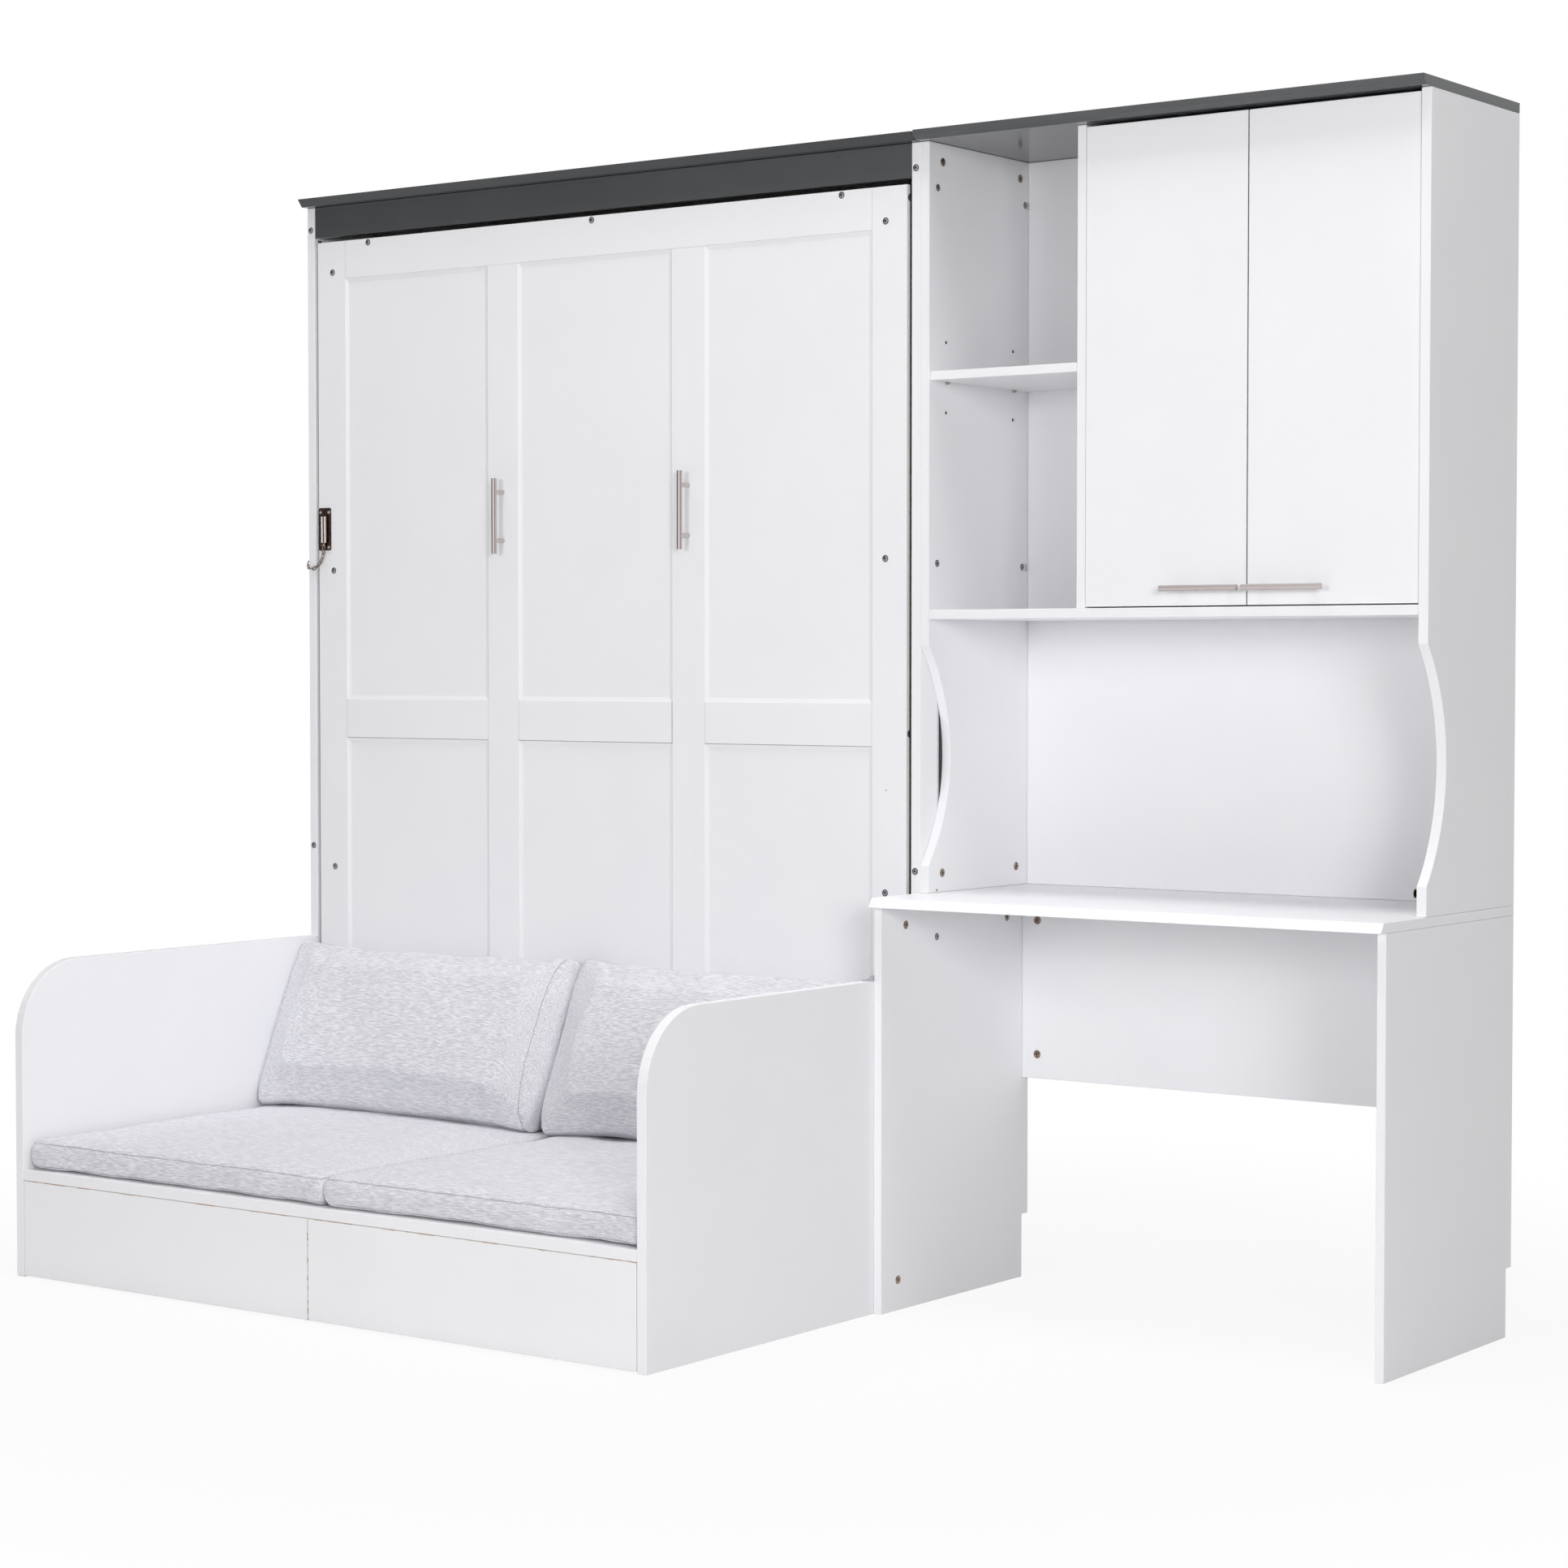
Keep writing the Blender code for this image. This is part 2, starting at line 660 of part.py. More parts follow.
def make_bed_handles():
    columns, _ = recess_lines()
    stiles = (("left", (columns[0][1] + columns[1][0]) / 2), ("right", (columns[1][1] + columns[2][0]) / 2))
    for name, x in stiles:
        bar_handle(f"pull_handle_{name}", (x, face_y, BED_BAR_HEIGHT), (0, 0, 1), BED_PIVOT)


def rounded_rectangle(low, high, radius, steps=CORNER_STEPS):
    """Outline of a rectangle with round corners, anticlockwise."""
    spots = (
        ((high[0] - radius, high[1] - radius), 0),
        ((low[0] + radius, high[1] - radius), math.pi / 2),
        ((low[0] + radius, low[1] + radius), math.pi),
        ((high[0] - radius, low[1] + radius), 3 * math.pi / 2),
    )
    return [point for spot, start in spots for point in arc(spot, radius, start, start + math.pi / 2, steps)]


def make_chain_guard():
    """A plate with a raised track on the bed, an anchor on the cabinet's side, and the chain between."""
    plate_low = (panel_left, GUARD_BOTTOM)
    plate_high = (panel_left + GUARD_WIDTH, GUARD_BOTTOM + GUARD_HEIGHT)
    back = face_y - TOUCH
    plate_front = back - GUARD_STEEL
    steps = CORNER_STEPS // 3
    outline = rounded_rectangle(plate_low, plate_high, GUARD_CORNER, steps)
    plate = object_from("guard_plate", prism_mesh(outline, "y", plate_front, back), NICKEL)
    track_x = (plate_low[0] + plate_high[0]) / 2
    track_z = (plate_low[1] + plate_high[1]) / 2
    track_low = (track_x - GUARD_TRACK_WIDTH / 2, track_z - GUARD_TRACK_HEIGHT / 2)
    track_high = (track_x + GUARD_TRACK_WIDTH / 2, track_z + GUARD_TRACK_HEIGHT / 2)
    track_front = plate_front - GUARD_TRACK_RISE
    outline = rounded_rectangle(track_low, track_high, GUARD_TRACK_WIDTH / 3, steps)
    track = prism_mesh(outline, "y", track_front, back - GUARD_STEEL / 2)
    hang_on(combine(plate, tools_of([track], NICKEL), "UNION"), BED_PIVOT)

    anchor_y = face_y + ANCHOR_BACK + ANCHOR_WIDTH / 2
    anchor_z = ANCHOR_BOTTOM + ANCHOR_HEIGHT / 2
    anchor_low = (anchor_y - ANCHOR_WIDTH / 2, ANCHOR_BOTTOM)
    anchor_high = (anchor_y + ANCHOR_WIDTH / 2, ANCHOR_BOTTOM + ANCHOR_HEIGHT)
    outline = rounded_rectangle(anchor_low, anchor_high, GUARD_CORNER, steps)
    anchor = object_from(
        "guard_anchor", prism_mesh(outline, "x", left_x - ANCHOR_STEEL, left_x - TOUCH), NICKEL
    )
    stud_start = (left_x - ANCHOR_STEEL / 2, anchor_y, anchor_z)
    stud_end = (left_x - ANCHOR_PROUD, anchor_y, anchor_z)
    stud = rod_between(stud_start, stud_end, ANCHOR_STUD_RADIUS, ROUND_SIDES // 2)
    shade_round(combine(anchor, tools_of([stud], NICKEL), "UNION"))

    in_front = face_y - GUARD_STEEL - 2 * CHAIN_RADIUS
    outside = left_x - ANCHOR_PROUD + CHAIN_RADIUS
    low = GUARD_BOTTOM - CHAIN_DROP
    stud_edge = anchor_y - ANCHOR_STUD_RADIUS - CHAIN_RADIUS - TOUCH
    route = [
        (track_x, in_front, GUARD_BOTTOM - CHAIN_RADIUS - TOUCH),
        (track_x - GUARD_CORNER, in_front, GUARD_BOTTOM - CHAIN_DROP / 2),
        (panel_left - GUARD_CORNER, in_front, low + CHAIN_DROP / 6),
        (bed_inner_left - BED_BOARD / 3, in_front, low),
        (left_x, in_front, low + 2 * CHAIN_RADIUS),
        (outside, face_y - CHAIN_RADIUS, low + 4 * CHAIN_RADIUS),
        (outside, (face_y + stud_edge) / 2, (low + anchor_z) / 2 + 2 * CHAIN_RADIUS),
        (outside, stud_edge, anchor_z - CHAIN_RADIUS),
    ]
    tube("guard_chain", route, CHAIN_RADIUS, NICKEL)


def tube(name, route, radius, finish):
    curve = bpy.data.curves.new(name, "CURVE")
    curve.dimensions = "3D"
    curve.bevel_depth = radius
    curve.bevel_resolution = 2
    curve.use_fill_caps = True
    spline = curve.splines.new("POLY")
    spline.points.add(len(route) - 1)
    for point, place in zip(spline.points, route):
        point.co = (*place, 1.0)
    made = bpy.data.objects.new(name, curve)
    bpy.context.scene.collection.objects.link(made)
    made.data.materials.append(finish)
    return made


def make_sofa():
    front, rear = sofa_front_y, face_y - TOUCH
    turned = (front + ARM_CORNER, ARM_HEIGHT - ARM_CORNER)
    corner = arc(turned, ARM_CORNER, math.pi / 2, math.pi, CORNER_STEPS)
    outline = [(front, 0), (rear, 0), (rear, ARM_HEIGHT), *corner]
    prism("sofa_arm_left", outline, "x", left_x, bed_inner_left, WHITE)
    prism("sofa_arm_right", outline, "x", bed_inner_right, split_x - TOUCH, WHITE)
    low_x, high_x = bed_inner_left + TOUCH, bed_inner_right - TOUCH
    seat_rear = face_y - SEAT_REAR_GAP
    board("seat_board", (low_x, front, seat_underside), (high_x, seat_rear, SEAT_HEIGHT), WHITE)
    under = seat_underside - TOUCH
    board("sofa_rear_board", (low_x, seat_rear - DIVIDER_BOARD, 0), (high_x, seat_rear, under), WHITE)
    half = DIVIDER_BOARD / 2
    board(
        "sofa_centre_divider",
        (bed_middle_x - half, front + DRAWER_FRONT_BOARD + TOUCH, 0),
        (bed_middle_x + half, seat_rear - DIVIDER_BOARD - TOUCH, under),
        WHITE,
    )


def drawer_bay(side):
    """The low and high X between an arm and the divider."""
    half = DIVIDER_BOARD / 2
    if side < 0:
        return bed_inner_left, bed_middle_x - half
    return bed_middle_x + half, bed_inner_right


def runner_mesh(wall, inward):
    """A rail with an open channel on the side that faces the drawer."""
    mouth = wall + inward * (RUNNER_THICK + TOUCH)
    back = wall + inward * TOUCH
    floor = mouth - inward * (SLIDE_PROUD + 2 * SLIDE_CLEARANCE)
    bottom, top = RUNNER_BOTTOM, RUNNER_BOTTOM + RUNNER_HEIGHT
    middle = (bottom + top) / 2
    channel = SLIDE_HEIGHT / 2 + SLIDE_CLEARANCE
    outline = [
        (back, bottom),
        (mouth, bottom),
        (mouth, middle - channel),
        (floor, middle - channel),
        (floor, middle + channel),
        (mouth, middle + channel),
        (mouth, top),
        (back, top),
    ]
    start = sofa_front_y + DRAWER_FRONT_BOARD + RUNNER_THICK
    return prism_mesh(outline, "y", start, start + RUNNER_LENGTH)


def make_drawers():
    for name, side in SIDES:
        bay_low, bay_high = drawer_bay(side)
        front_low = bay_low + DRAWER_GAP if side < 0 else bed_middle_x + DRAWER_GAP / 2
        front_high = bed_middle_x - DRAWER_GAP / 2 if side < 0 else bay_high - DRAWER_GAP
        front_rear = sofa_front_y + DRAWER_FRONT_BOARD
        origin = ((bay_low + bay_high) / 2, sofa_front_y, 0)
        drawer_front = board(
            f"drawer_front_{name}",
            (front_low, sofa_front_y, DRAWER_FLOOR_GAP),
            (front_high, front_rear, seat_underside - DRAWER_TOP_GAP),
            WHITE,
        )
        hang_on(drawer_front, origin)
        object_from(f"drawer_runner_{name}_outer", runner_mesh(*runner_wall(side, "outer")), STEEL)
        object_from(f"drawer_runner_{name}_inner", runner_mesh(*runner_wall(side, "inner")), STEEL)
        margin = TOUCH + RUNNER_THICK + SLIDE_CLEARANCE
        low = (bay_low + margin, front_rear + TOUCH, DRAWER_BOX_BOTTOM)
        high = (bay_high - margin, front_rear + TOUCH + DRAWER_DEPTH, DRAWER_BOX_BOTTOM + DRAWER_BOX_HEIGHT)
        box = object_from(f"drawer_box_{name}", box_mesh(low, high), BIRCH)
        slide_middle = RUNNER_BOTTOM + RUNNER_HEIGHT / 2
        slide = box_mesh(
            (low[0] - SLIDE_PROUD, low[1] + RUNNER_THICK, slide_middle - SLIDE_HEIGHT / 2),
            (high[0] + SLIDE_PROUD, low[1] + RUNNER_LENGTH, slide_middle + SLIDE_HEIGHT / 2),
        )
        combine(box, tools_of([slide], BIRCH), "UNION")
        wall = Vector((DRAWER_WALL, DRAWER_WALL, DRAWER_WALL))
        above = Vector((-DRAWER_WALL, -DRAWER_WALL, DRAWER_WALL))
        hollow = box_mesh(Vector(low) + wall, Vector(high) + above)
        hang_on(combine(box, tools_of([hollow], BIRCH), "DIFFERENCE"), origin)


def runner_wall(side, which):
    """The X of the wall that a runner is on, and the way to the drawer from it."""
    bay_low, bay_high = drawer_bay(side)
    on_low = (side < 0) == (which == "outer")
    return (bay_low, 1) if on_low else (bay_high, -1)


def cushion_outline(width, height, corner):
    """A rectangle with soft corners whose sides draw in between them, centred on zero."""
    points = []
    half_width, half_height = width / 2, height / 2
    spots = ((1, 1, 0), (-1, 1, math.pi / 2), (-1, -1, math.pi), (1, -1, 3 * math.pi / 2))
    for index, (way_x, way_y, start) in enumerate(spots):
        spot = (way_x * (half_width - corner), way_y * (half_height - corner))
        turned = arc(spot, corner, start, start + math.pi / 2, CUSHION_CORNER_STEPS)
        points += turned
        way_next = spots[(index + 1) % 4]
        target = (way_next[0] * (half_width - corner), way_next[1] * (half_height - corner))
        begin = turned[-1]
        end = (begin[0] + target[0] - spot[0], begin[1] + target[1] - spot[1])
        for step in range(1, CUSHION_SIDE_STEPS):
            share = step / CUSHION_SIDE_STEPS
            points.append((begin[0] + (end[0] - begin[0]) * share, begin[1] + (end[1] - begin[1]) * share))
    drawn = []
    for x, y in points:
        pull_x = 1 - DRAW_IN_SHARE * (1 - (y / half_height) ** 2) * height / width
        pull_y = 1 - DRAW_IN_SHARE * (1 - (x / half_width) ** 2) * width / height / 2
        drawn.append((x * pull_x, y * pull_y))
    return drawn


def cushion_rings(width, height, corner, edge, crown, flat_share):
    """Rings of points from the lower middle, round the edge band, to the upper middle.

    Width and height include the band's bulge. The faces rise to a crown, and flat_share is
    how much of the crown the lower face keeps.
    """
    bulge = edge * BAND_BULGE_SHARE
    pinch = edge * SEAM_PINCH_SHARE
    half = edge / 2
    half_width, half_height = width / 2 - bulge, height / 2 - bulge
    outline = cushion_outline(2 * half_width, 2 * half_height, corner)

    def grown(level, grow):
        made = []
        for x, y in outline:
            wide = 1 + grow / math.hypot(x, y)
            made.append((x * wide, y * wide, level))
        return made

    def crowned(share, base, rise):
        made = []
        for x, y in outline:
            across, along = x / half_width, y / half_height
            reach = max(abs(across), abs(along))
            across, along = across / reach * share, along / reach * share
            swell = ((1 - across**2) * (1 - along**2)) ** CROWN_POWER_SHARE
            made.append((x * share, y * share, base + rise * swell))
        return made

    rings = [crowned(share, -half, -crown * flat_share) for share in reversed(CUSHION_RING_SHARES)]
    rings += [grown(-half, -pinch), grown(pinch - half, 0), grown(0, bulge)]
    rings += [grown(half - pinch, 0), grown(half, -pinch)]
    rings += [crowned(share, half, crown) for share in CUSHION_RING_SHARES]
    return rings, -half - crown * flat_share, half + crown


def cushion_mesh(width, height, corner, edge, crown, flat_share, place):
    """A closed pad from its rings; `place` is the matrix that sets it in the unit."""
    rings, low, high = cushion_rings(width, height, corner, edge, crown, flat_share)
    builder = bmesh.new()
    loops = [[builder.verts.new(point) for point in ring] for ring in rings]
    count = len(loops[0])
    for lower, upper in zip(loops, loops[1:]):
        for index in range(count):
            after = (index + 1) % count
            builder.faces.new((lower[index], lower[after], upper[after], upper[index]))
    for loop, level in ((loops[0], low), (loops[-1], high)):
        tip = builder.verts.new((0, 0, level))
        for index in range(count):
            builder.faces.new((loop[index], loop[(index + 1) % count], tip))
    bmesh.ops.transform(builder, matrix=place, verts=builder.verts)
    return builder


def make_seat_cushions():
    seam = bed_middle_x + SEAT_CUSHION_SEAM
    front = sofa_front_y + SEAT_CUSHION_FRONT
    rear = face_y - SEAT_CUSHION_REAR
    spans = (
        ("left", bed_inner_left + SEAT_CUSHION_SIDE, seam - SEAT_CUSHION_GAP / 2),
        ("right", seam + SEAT_CUSHION_GAP / 2, bed_inner_right - SEAT_CUSHION_SIDE),
    )
    middle_z = SEAT_HEIGHT + CUSHION_REST_GAP + SEAT_CUSHION_EDGE / 2
    for name, low, high in spans:
        place = Matrix.Translation(((low + high) / 2, (front + rear) / 2, middle_z))
        builder = cushion_mesh(
            high - low,
            rear - front,
            SEAT_CUSHION_CORNER,
            SEAT_CUSHION_EDGE,
            SEAT_CUSHION_CROWN,
            0,
            place,
        )
        cushion = shade_round(object_from(f"seat_cushion_{name}", builder, FABRIC))
        hang_on(cushion, place.translation)


def back_cushion_place():
    """The Y and Z of a back cushion's middle, and the height at which its foot lies flat on the seat.

    Its crown sinks a little into the panel's recess, so that it rests on the stiles.
    """
    rings, low, high = cushion_rings(
        back_cushion_width, BACK_CUSHION_HEIGHT, BACK_CUSHION_CORNER, BACK_CUSHION_EDGE, BACK_CUSHION_CROWN, 1
    )
    lean = Matrix.Rotation(math.pi / 2 - BACK_CUSHION_LEAN, 3, "X")
    spots = [lean @ Vector(point) for ring in rings for point in ring] + [lean @ Vector((0, 0, low))]
    seat_top = SEAT_HEIGHT + CUSHION_REST_GAP + SEAT_CUSHION_EDGE + SEAT_CUSHION_CROWN
    middle_y = face_y - CUSHION_REST_GAP + BACK_CUSHION_SINK - max(spot.y for spot in spots)
    foot = seat_top + CUSHION_REST_GAP
    middle_z = foot - BACK_CUSHION_PRESS - min(spot.z for spot in spots)
    return middle_y, middle_z, foot


def make_back_cushions():
    middle_y, middle_z, foot = back_cushion_place()
    half = back_cushion_width / 2
    spots = (("left", back_cushions_left + half), ("right", back_cushions_right - half))
    lean = Matrix.Rotation(math.pi / 2 - BACK_CUSHION_LEAN, 4, "X")
    for name, x in spots:
        place = Matrix.Translation((x, middle_y, middle_z)) @ lean
        builder = cushion_mesh(
            back_cushion_width,
            BACK_CUSHION_HEIGHT,
            BACK_CUSHION_CORNER,
            BACK_CUSHION_EDGE,
            BACK_CUSHION_CROWN,
            1,
            place,
        )
        for corner in builder.verts:
            corner.co.z = max(corner.co.z, foot)
        cushion = shade_round(object_from(f"back_cushion_{name}", builder, FABRIC))
        hang_on(cushion, (x, face_y - LIFT_OUT_PIVOT_FORWARD, -LIFT_OUT_PIVOT_DROP))


def make_desk():
    under_top = DESK_HEIGHT - DESK_BOARD
    outline = side_outline(face_y - DESK_LEG_FRONT, wall_y, under_top - TOUCH)
    prism("desk_leg_left", outline, "x", split_x, split_x + LEG_BOARD, WHITE)
    prism("desk_leg_right", outline, "x", right_x - LEG_BOARD, right_x, WHITE)
    front = face_y - DESK_TOP_FRONT
    profile = [
        (front, DESK_HEIGHT),
        (front - DESK_TOP_CHAMFER, under_top),
        (wall_y, under_top),
        (wall_y, DESK_HEIGHT),
    ]
    prism("desk_top", profile, "x", split_x, right_x, WHITE)
    modesty_front = wall_y - MODESTY_SET_BACK
    board(
        "modesty_panel",
        (split_x + LEG_BOARD + TOUCH, modesty_front, MODESTY_BOTTOM),
        (right_x - LEG_BOARD - TOUCH, modesty_front + MODESTY_BOARD, under_top - TOUCH),
        WHITE,
    )


def hutch_side_outline():
    """A side of the hutch from its side: the front edge curves in over the desk."""
    low, high = DESK_HEIGHT + CUT_RISE, HUTCH_FLOOR_TOP - CUT_DROP
    half = (high - low) / 2
    radius = (half**2 + CUT_DEPTH**2) / (2 * CUT_DEPTH)
    middle = (face_y + CUT_DEPTH - radius, (high + low) / 2)
    reach = math.asin(half / radius)
    curve = arc(middle, radius, reach, -reach, CUT_STEPS)
    bottom = DESK_HEIGHT + TOUCH
    return [(face_y, SIDE_HEIGHT), *curve, (face_y, bottom), (wall_y, bottom), (wall_y, SIDE_HEIGHT)]


def hinge_arm_mesh(wall, inward, height):
    """The fixed arm of a concealed hinge: a plate on the wall and a finger that reaches to the door's cup."""
    door_rear = face_y + DOOR_SET_BACK + DOOR_BOARD + HINGE_CUP_RISE + TOUCH
    embed = HINGE_CUP_RISE
    outline = [
        (wall - inward * embed, door_rear + HINGE_ARM_LENGTH),
        (wall + inward * HINGE_THICK, door_rear + HINGE_ARM_LENGTH),
        (wall + inward * HINGE_THICK, door_rear + HINGE_THICK),
        (wall + inward * HINGE_ARM_REACH, door_rear + HINGE_THICK / 2),
        (wall + inward * HINGE_ARM_REACH, door_rear),
        (wall - inward * embed, door_rear),
    ]
    return prism_mesh(outline, "z", height - HINGE_HEIGHT / 2, height + HINGE_HEIGHT / 2)


def door_levels():
    low = HUTCH_FLOOR_TOP + DOOR_FLOOR_GAP
    high = SIDE_HEIGHT - DOOR_TOP_GAP
    return low, high, (low + HINGE_INSET, high - HINGE_INSET)


def make_hutch():
    outline = hutch_side_outline()
    low_x = split_x + HUTCH_BOARD
    high_x = right_x - HUTCH_BOARD
    inner_low, inner_high = low_x + TOUCH, high_x - TOUCH
    prism("hutch_side_left", outline, "x", split_x, low_x, WHITE)
    _, _, hinge_heights = door_levels()
    right = prism("hutch_side_right", outline, "x", high_x, right_x, WHITE)
    arms = [hinge_arm_mesh(high_x, -1, height) for height in hinge_heights]
    combine(right, tools_of(arms, WHITE), "UNION")

    floor_rear = back_front_y - TOUCH
    floor_bottom = HUTCH_FLOOR_TOP - DESK_BOARD
    board("hutch_bottom", (inner_low, face_y, floor_bottom), (inner_high, floor_rear, HUTCH_FLOOR_TOP), WHITE)
    divider_x = split_x + DIVIDER_LEFT
    divider = board(
        "hutch_divider",
        (divider_x, face_y + DIVIDER_SET_BACK, HUTCH_FLOOR_TOP + TOUCH),
        (divider_x + HUTCH_BOARD, floor_rear, SIDE_HEIGHT),
        WHITE,
    )
    arms = [hinge_arm_mesh(divider_x + HUTCH_BOARD, 1, height) for height in hinge_heights]
    combine(divider, tools_of(arms, WHITE), "UNION")
    board(
        "hutch_shelf",
        (inner_low, face_y + SHELF_SET_BACK, SHELF_TOP - SHELF_BOARD),
        (divider_x - TOUCH, floor_rear, SHELF_TOP),
        WHITE,
    )
    board(
        "hutch_back",
        (inner_low, back_front_y, DESK_HEIGHT + TOUCH),
        (inner_high, wall_y, SIDE_HEIGHT),
        WHITE,
    )
    front = face_y - TOP_OVERHANG
    top, bottom = SIDE_HEIGHT + HUTCH_BOARD, SIDE_HEIGHT + TOUCH
    profile = [
        (front, top),
        (front, top - TOP_NOSE),
        (front + TOP_CHAMFER, bottom),
        (wall_y, bottom),
        (wall_y, top),
    ]
    prism("hutch_top", profile, "x", split_x, right_x, GREY)


def make_doors():
    """Two doors that fill the opening between the divider and the right side, each on concealed hinges."""
    low_z, high_z, hinge_heights = door_levels()
    opening_low = split_x + DIVIDER_LEFT + HUTCH_BOARD
    opening_high = right_x - HUTCH_BOARD
    meeting = (opening_low + opening_high) / 2
    front = face_y + DOOR_SET_BACK
    rear = front + DOOR_BOARD
    spans = (
        ("left", opening_low + DOOR_GAP, meeting - DOOR_GAP / 2, 1),
        ("right", meeting + DOOR_GAP / 2, opening_high - DOOR_GAP, -1),
    )
    for name, low, high, inward in spans:
        hinge_x = low if inward > 0 else high
        door = board(f"door_{name}", (low, front, low_z), (high, rear, high_z), WHITE)
        cup_x = hinge_x + inward * (HINGE_CUP_RADIUS + DOOR_GAP)
        cup_ends = (rear - HINGE_CUP_RISE, rear + HINGE_CUP_RISE)
        cups = [
            rod_between((cup_x, cup_ends[0], z), (cup_x, cup_ends[1], z), HINGE_CUP_RADIUS)
            for z in hinge_heights
        ]
        combine(door, tools_of(cups, WHITE), "UNION")
        hang_on(door, (hinge_x, front, 0))
        free_x = high if inward > 0 else low
        bar_middle = free_x - inward * (DOOR_BAR_EDGE + BAR_LENGTH / 2)
        place = (bar_middle, front, low_z + DOOR_BAR_RISE)
        bar_handle(f"door_handle_{name}", place, (1, 0, 0), (hinge_x, front, 0))


def make_joining_bracket():
    """A steel angle on the right arm's top, against the desk's left leg."""
    front = face_y - BRACKET_FRONT
    wall = split_x - TOUCH
    low = ARM_HEIGHT + TOUCH
    outline = [
        (wall - BRACKET_WIDTH, low),
        (wall, low),
        (wall, low + BRACKET_RISE),
        (wall - BRACKET_STEEL, low + BRACKET_RISE),
        (wall - BRACKET_STEEL, low + BRACKET_STEEL),
        (wall - BRACKET_WIDTH, low + BRACKET_STEEL),
    ]
    object_from("arm_joining_bracket", prism_mesh(outline, "y", front, front + BRACKET_LENGTH), NICKEL)


for leftover in list(bpy.data.objects):
    bpy.data.objects.remove(leftover, do_unlink=True)

WHITE = material("white_melamine", (0.86, 0.87, 0.88), 0.35)
GREY = material("grey_melamine", (0.062, 0.070, 0.072), 0.45)
BIRCH = material("birch_plywood", (0.62, 0.47, 0.30), 0.55)
FABRIC = material("woven_fabric", (0.52, 0.53, 0.56), 0.90)
BRUSHED = material("brushed_steel", (0.55, 0.54, 0.52), 0.32, 1.0)
NICKEL = material("nickel_plate", (0.60, 0.58, 0.54), 0.25, 1.0)
STEEL = material("zinc_plated_steel", (0.55, 0.56, 0.58), 0.40, 1.0)
BLACK_STEEL = material("black_painted_steel", (0.02, 0.02, 0.02), 0.45)
BED_PIVOT = (bed_middle_x, pivot_y, pivot_z)

make_bed_cabinet()
make_face_panel()
make_bed_frame()
make_pivot_plates()
make_gas_struts()
make_support_legs()
make_bed_handles()
make_chain_guard()
make_sofa()
make_drawers()
make_seat_cushions()
make_back_cushions()
make_desk()
make_hutch()
make_doors()
make_joining_bracket()
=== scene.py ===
"""Looks of the wall bed with its sofa, desk and hutch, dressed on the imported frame.

Metres, +Z up, the wall at +Y. Sizes in millimetres go through MM.
"""

import json
import math

import bmesh
import bpy
from mathutils import Matrix, Vector, noise
from mathutils.bvhtree import BVHTree
from mathutils.kdtree import KDTree


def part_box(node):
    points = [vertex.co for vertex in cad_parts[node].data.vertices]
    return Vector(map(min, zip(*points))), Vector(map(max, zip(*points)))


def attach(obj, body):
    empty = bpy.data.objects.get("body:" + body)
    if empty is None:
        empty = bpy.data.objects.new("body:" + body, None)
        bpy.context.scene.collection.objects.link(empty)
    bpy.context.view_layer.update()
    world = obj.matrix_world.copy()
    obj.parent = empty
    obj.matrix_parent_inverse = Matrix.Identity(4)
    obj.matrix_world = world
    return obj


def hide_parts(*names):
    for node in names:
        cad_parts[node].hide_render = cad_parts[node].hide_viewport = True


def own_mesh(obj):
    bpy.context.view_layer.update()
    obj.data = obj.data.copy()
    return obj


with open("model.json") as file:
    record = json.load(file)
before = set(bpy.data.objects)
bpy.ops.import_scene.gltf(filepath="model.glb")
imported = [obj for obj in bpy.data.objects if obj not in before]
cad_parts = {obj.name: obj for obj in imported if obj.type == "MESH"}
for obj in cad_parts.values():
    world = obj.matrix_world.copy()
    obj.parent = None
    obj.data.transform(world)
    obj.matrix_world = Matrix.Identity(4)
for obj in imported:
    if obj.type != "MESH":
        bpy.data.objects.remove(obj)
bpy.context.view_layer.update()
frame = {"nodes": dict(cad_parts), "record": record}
nodes = frame["nodes"]
scene = bpy.context.scene

MM = 0.001
HAIR = 0.1 * MM

# The photograph's camera, solved from the object's own corners
CAMERA_PLACE = (3.71776, -4.9006, 1.17076)
CAMERA_TILT = math.radians(90 - 2.055)
CAMERA_TURN = math.radians(36.231)
CAMERA_LENS = 77.83
SENSOR = 36.0

# Planes of the frame that details sit on
face_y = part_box("bed_side_right")[0].y
panel_low, panel_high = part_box("bed_face_panel")
hutch_inner_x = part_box("hutch_side_left")[1].x
hutch_far_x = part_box("hutch_side_right")[0].x
leg_inner_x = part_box("desk_leg_left")[1].x
leg_far_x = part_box("desk_leg_right")[0].x
modesty_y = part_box("modesty_panel")[0].y
PANEL_BOARD = 18 * MM


# Materials

# Places of the colour sockets on Blender's Mix node
MIX_SHARE, MIX_FIRST, MIX_SECOND, MIX_RESULT = 0, 6, 7, 2

# How much of the weave's pattern its weft and its warp give
WEFT_SHARE, WARP_SHARE = 0.80, 0.20
HAIRLINE_COLOUR = "#B4AAA8"


def linear(code):
    """An sRGB hex colour as linear red, green, blue and alpha."""
    parts = [int(code[start : start + 2], 16) / 255 for start in (1, 3, 5)]
    parts = [part / 12.92 if part <= 0.04045 else ((part + 0.055) / 1.055) ** 2.4 for part in parts]
    return (*parts, 1.0)


def add_node(tree, kind, values=None, links=None, **settings):
    """Adds one node with its settings, its sockets' values and the sockets that feed it."""
    node = tree.nodes.new(kind)
    for name, value in settings.items():
        setattr(node, name, value)
    for name, value in (values or {}).items():
        node.inputs[name].default_value = value
    for name, source in (links or {}).items():
        tree.links.new(source, node.inputs[name])
    return node


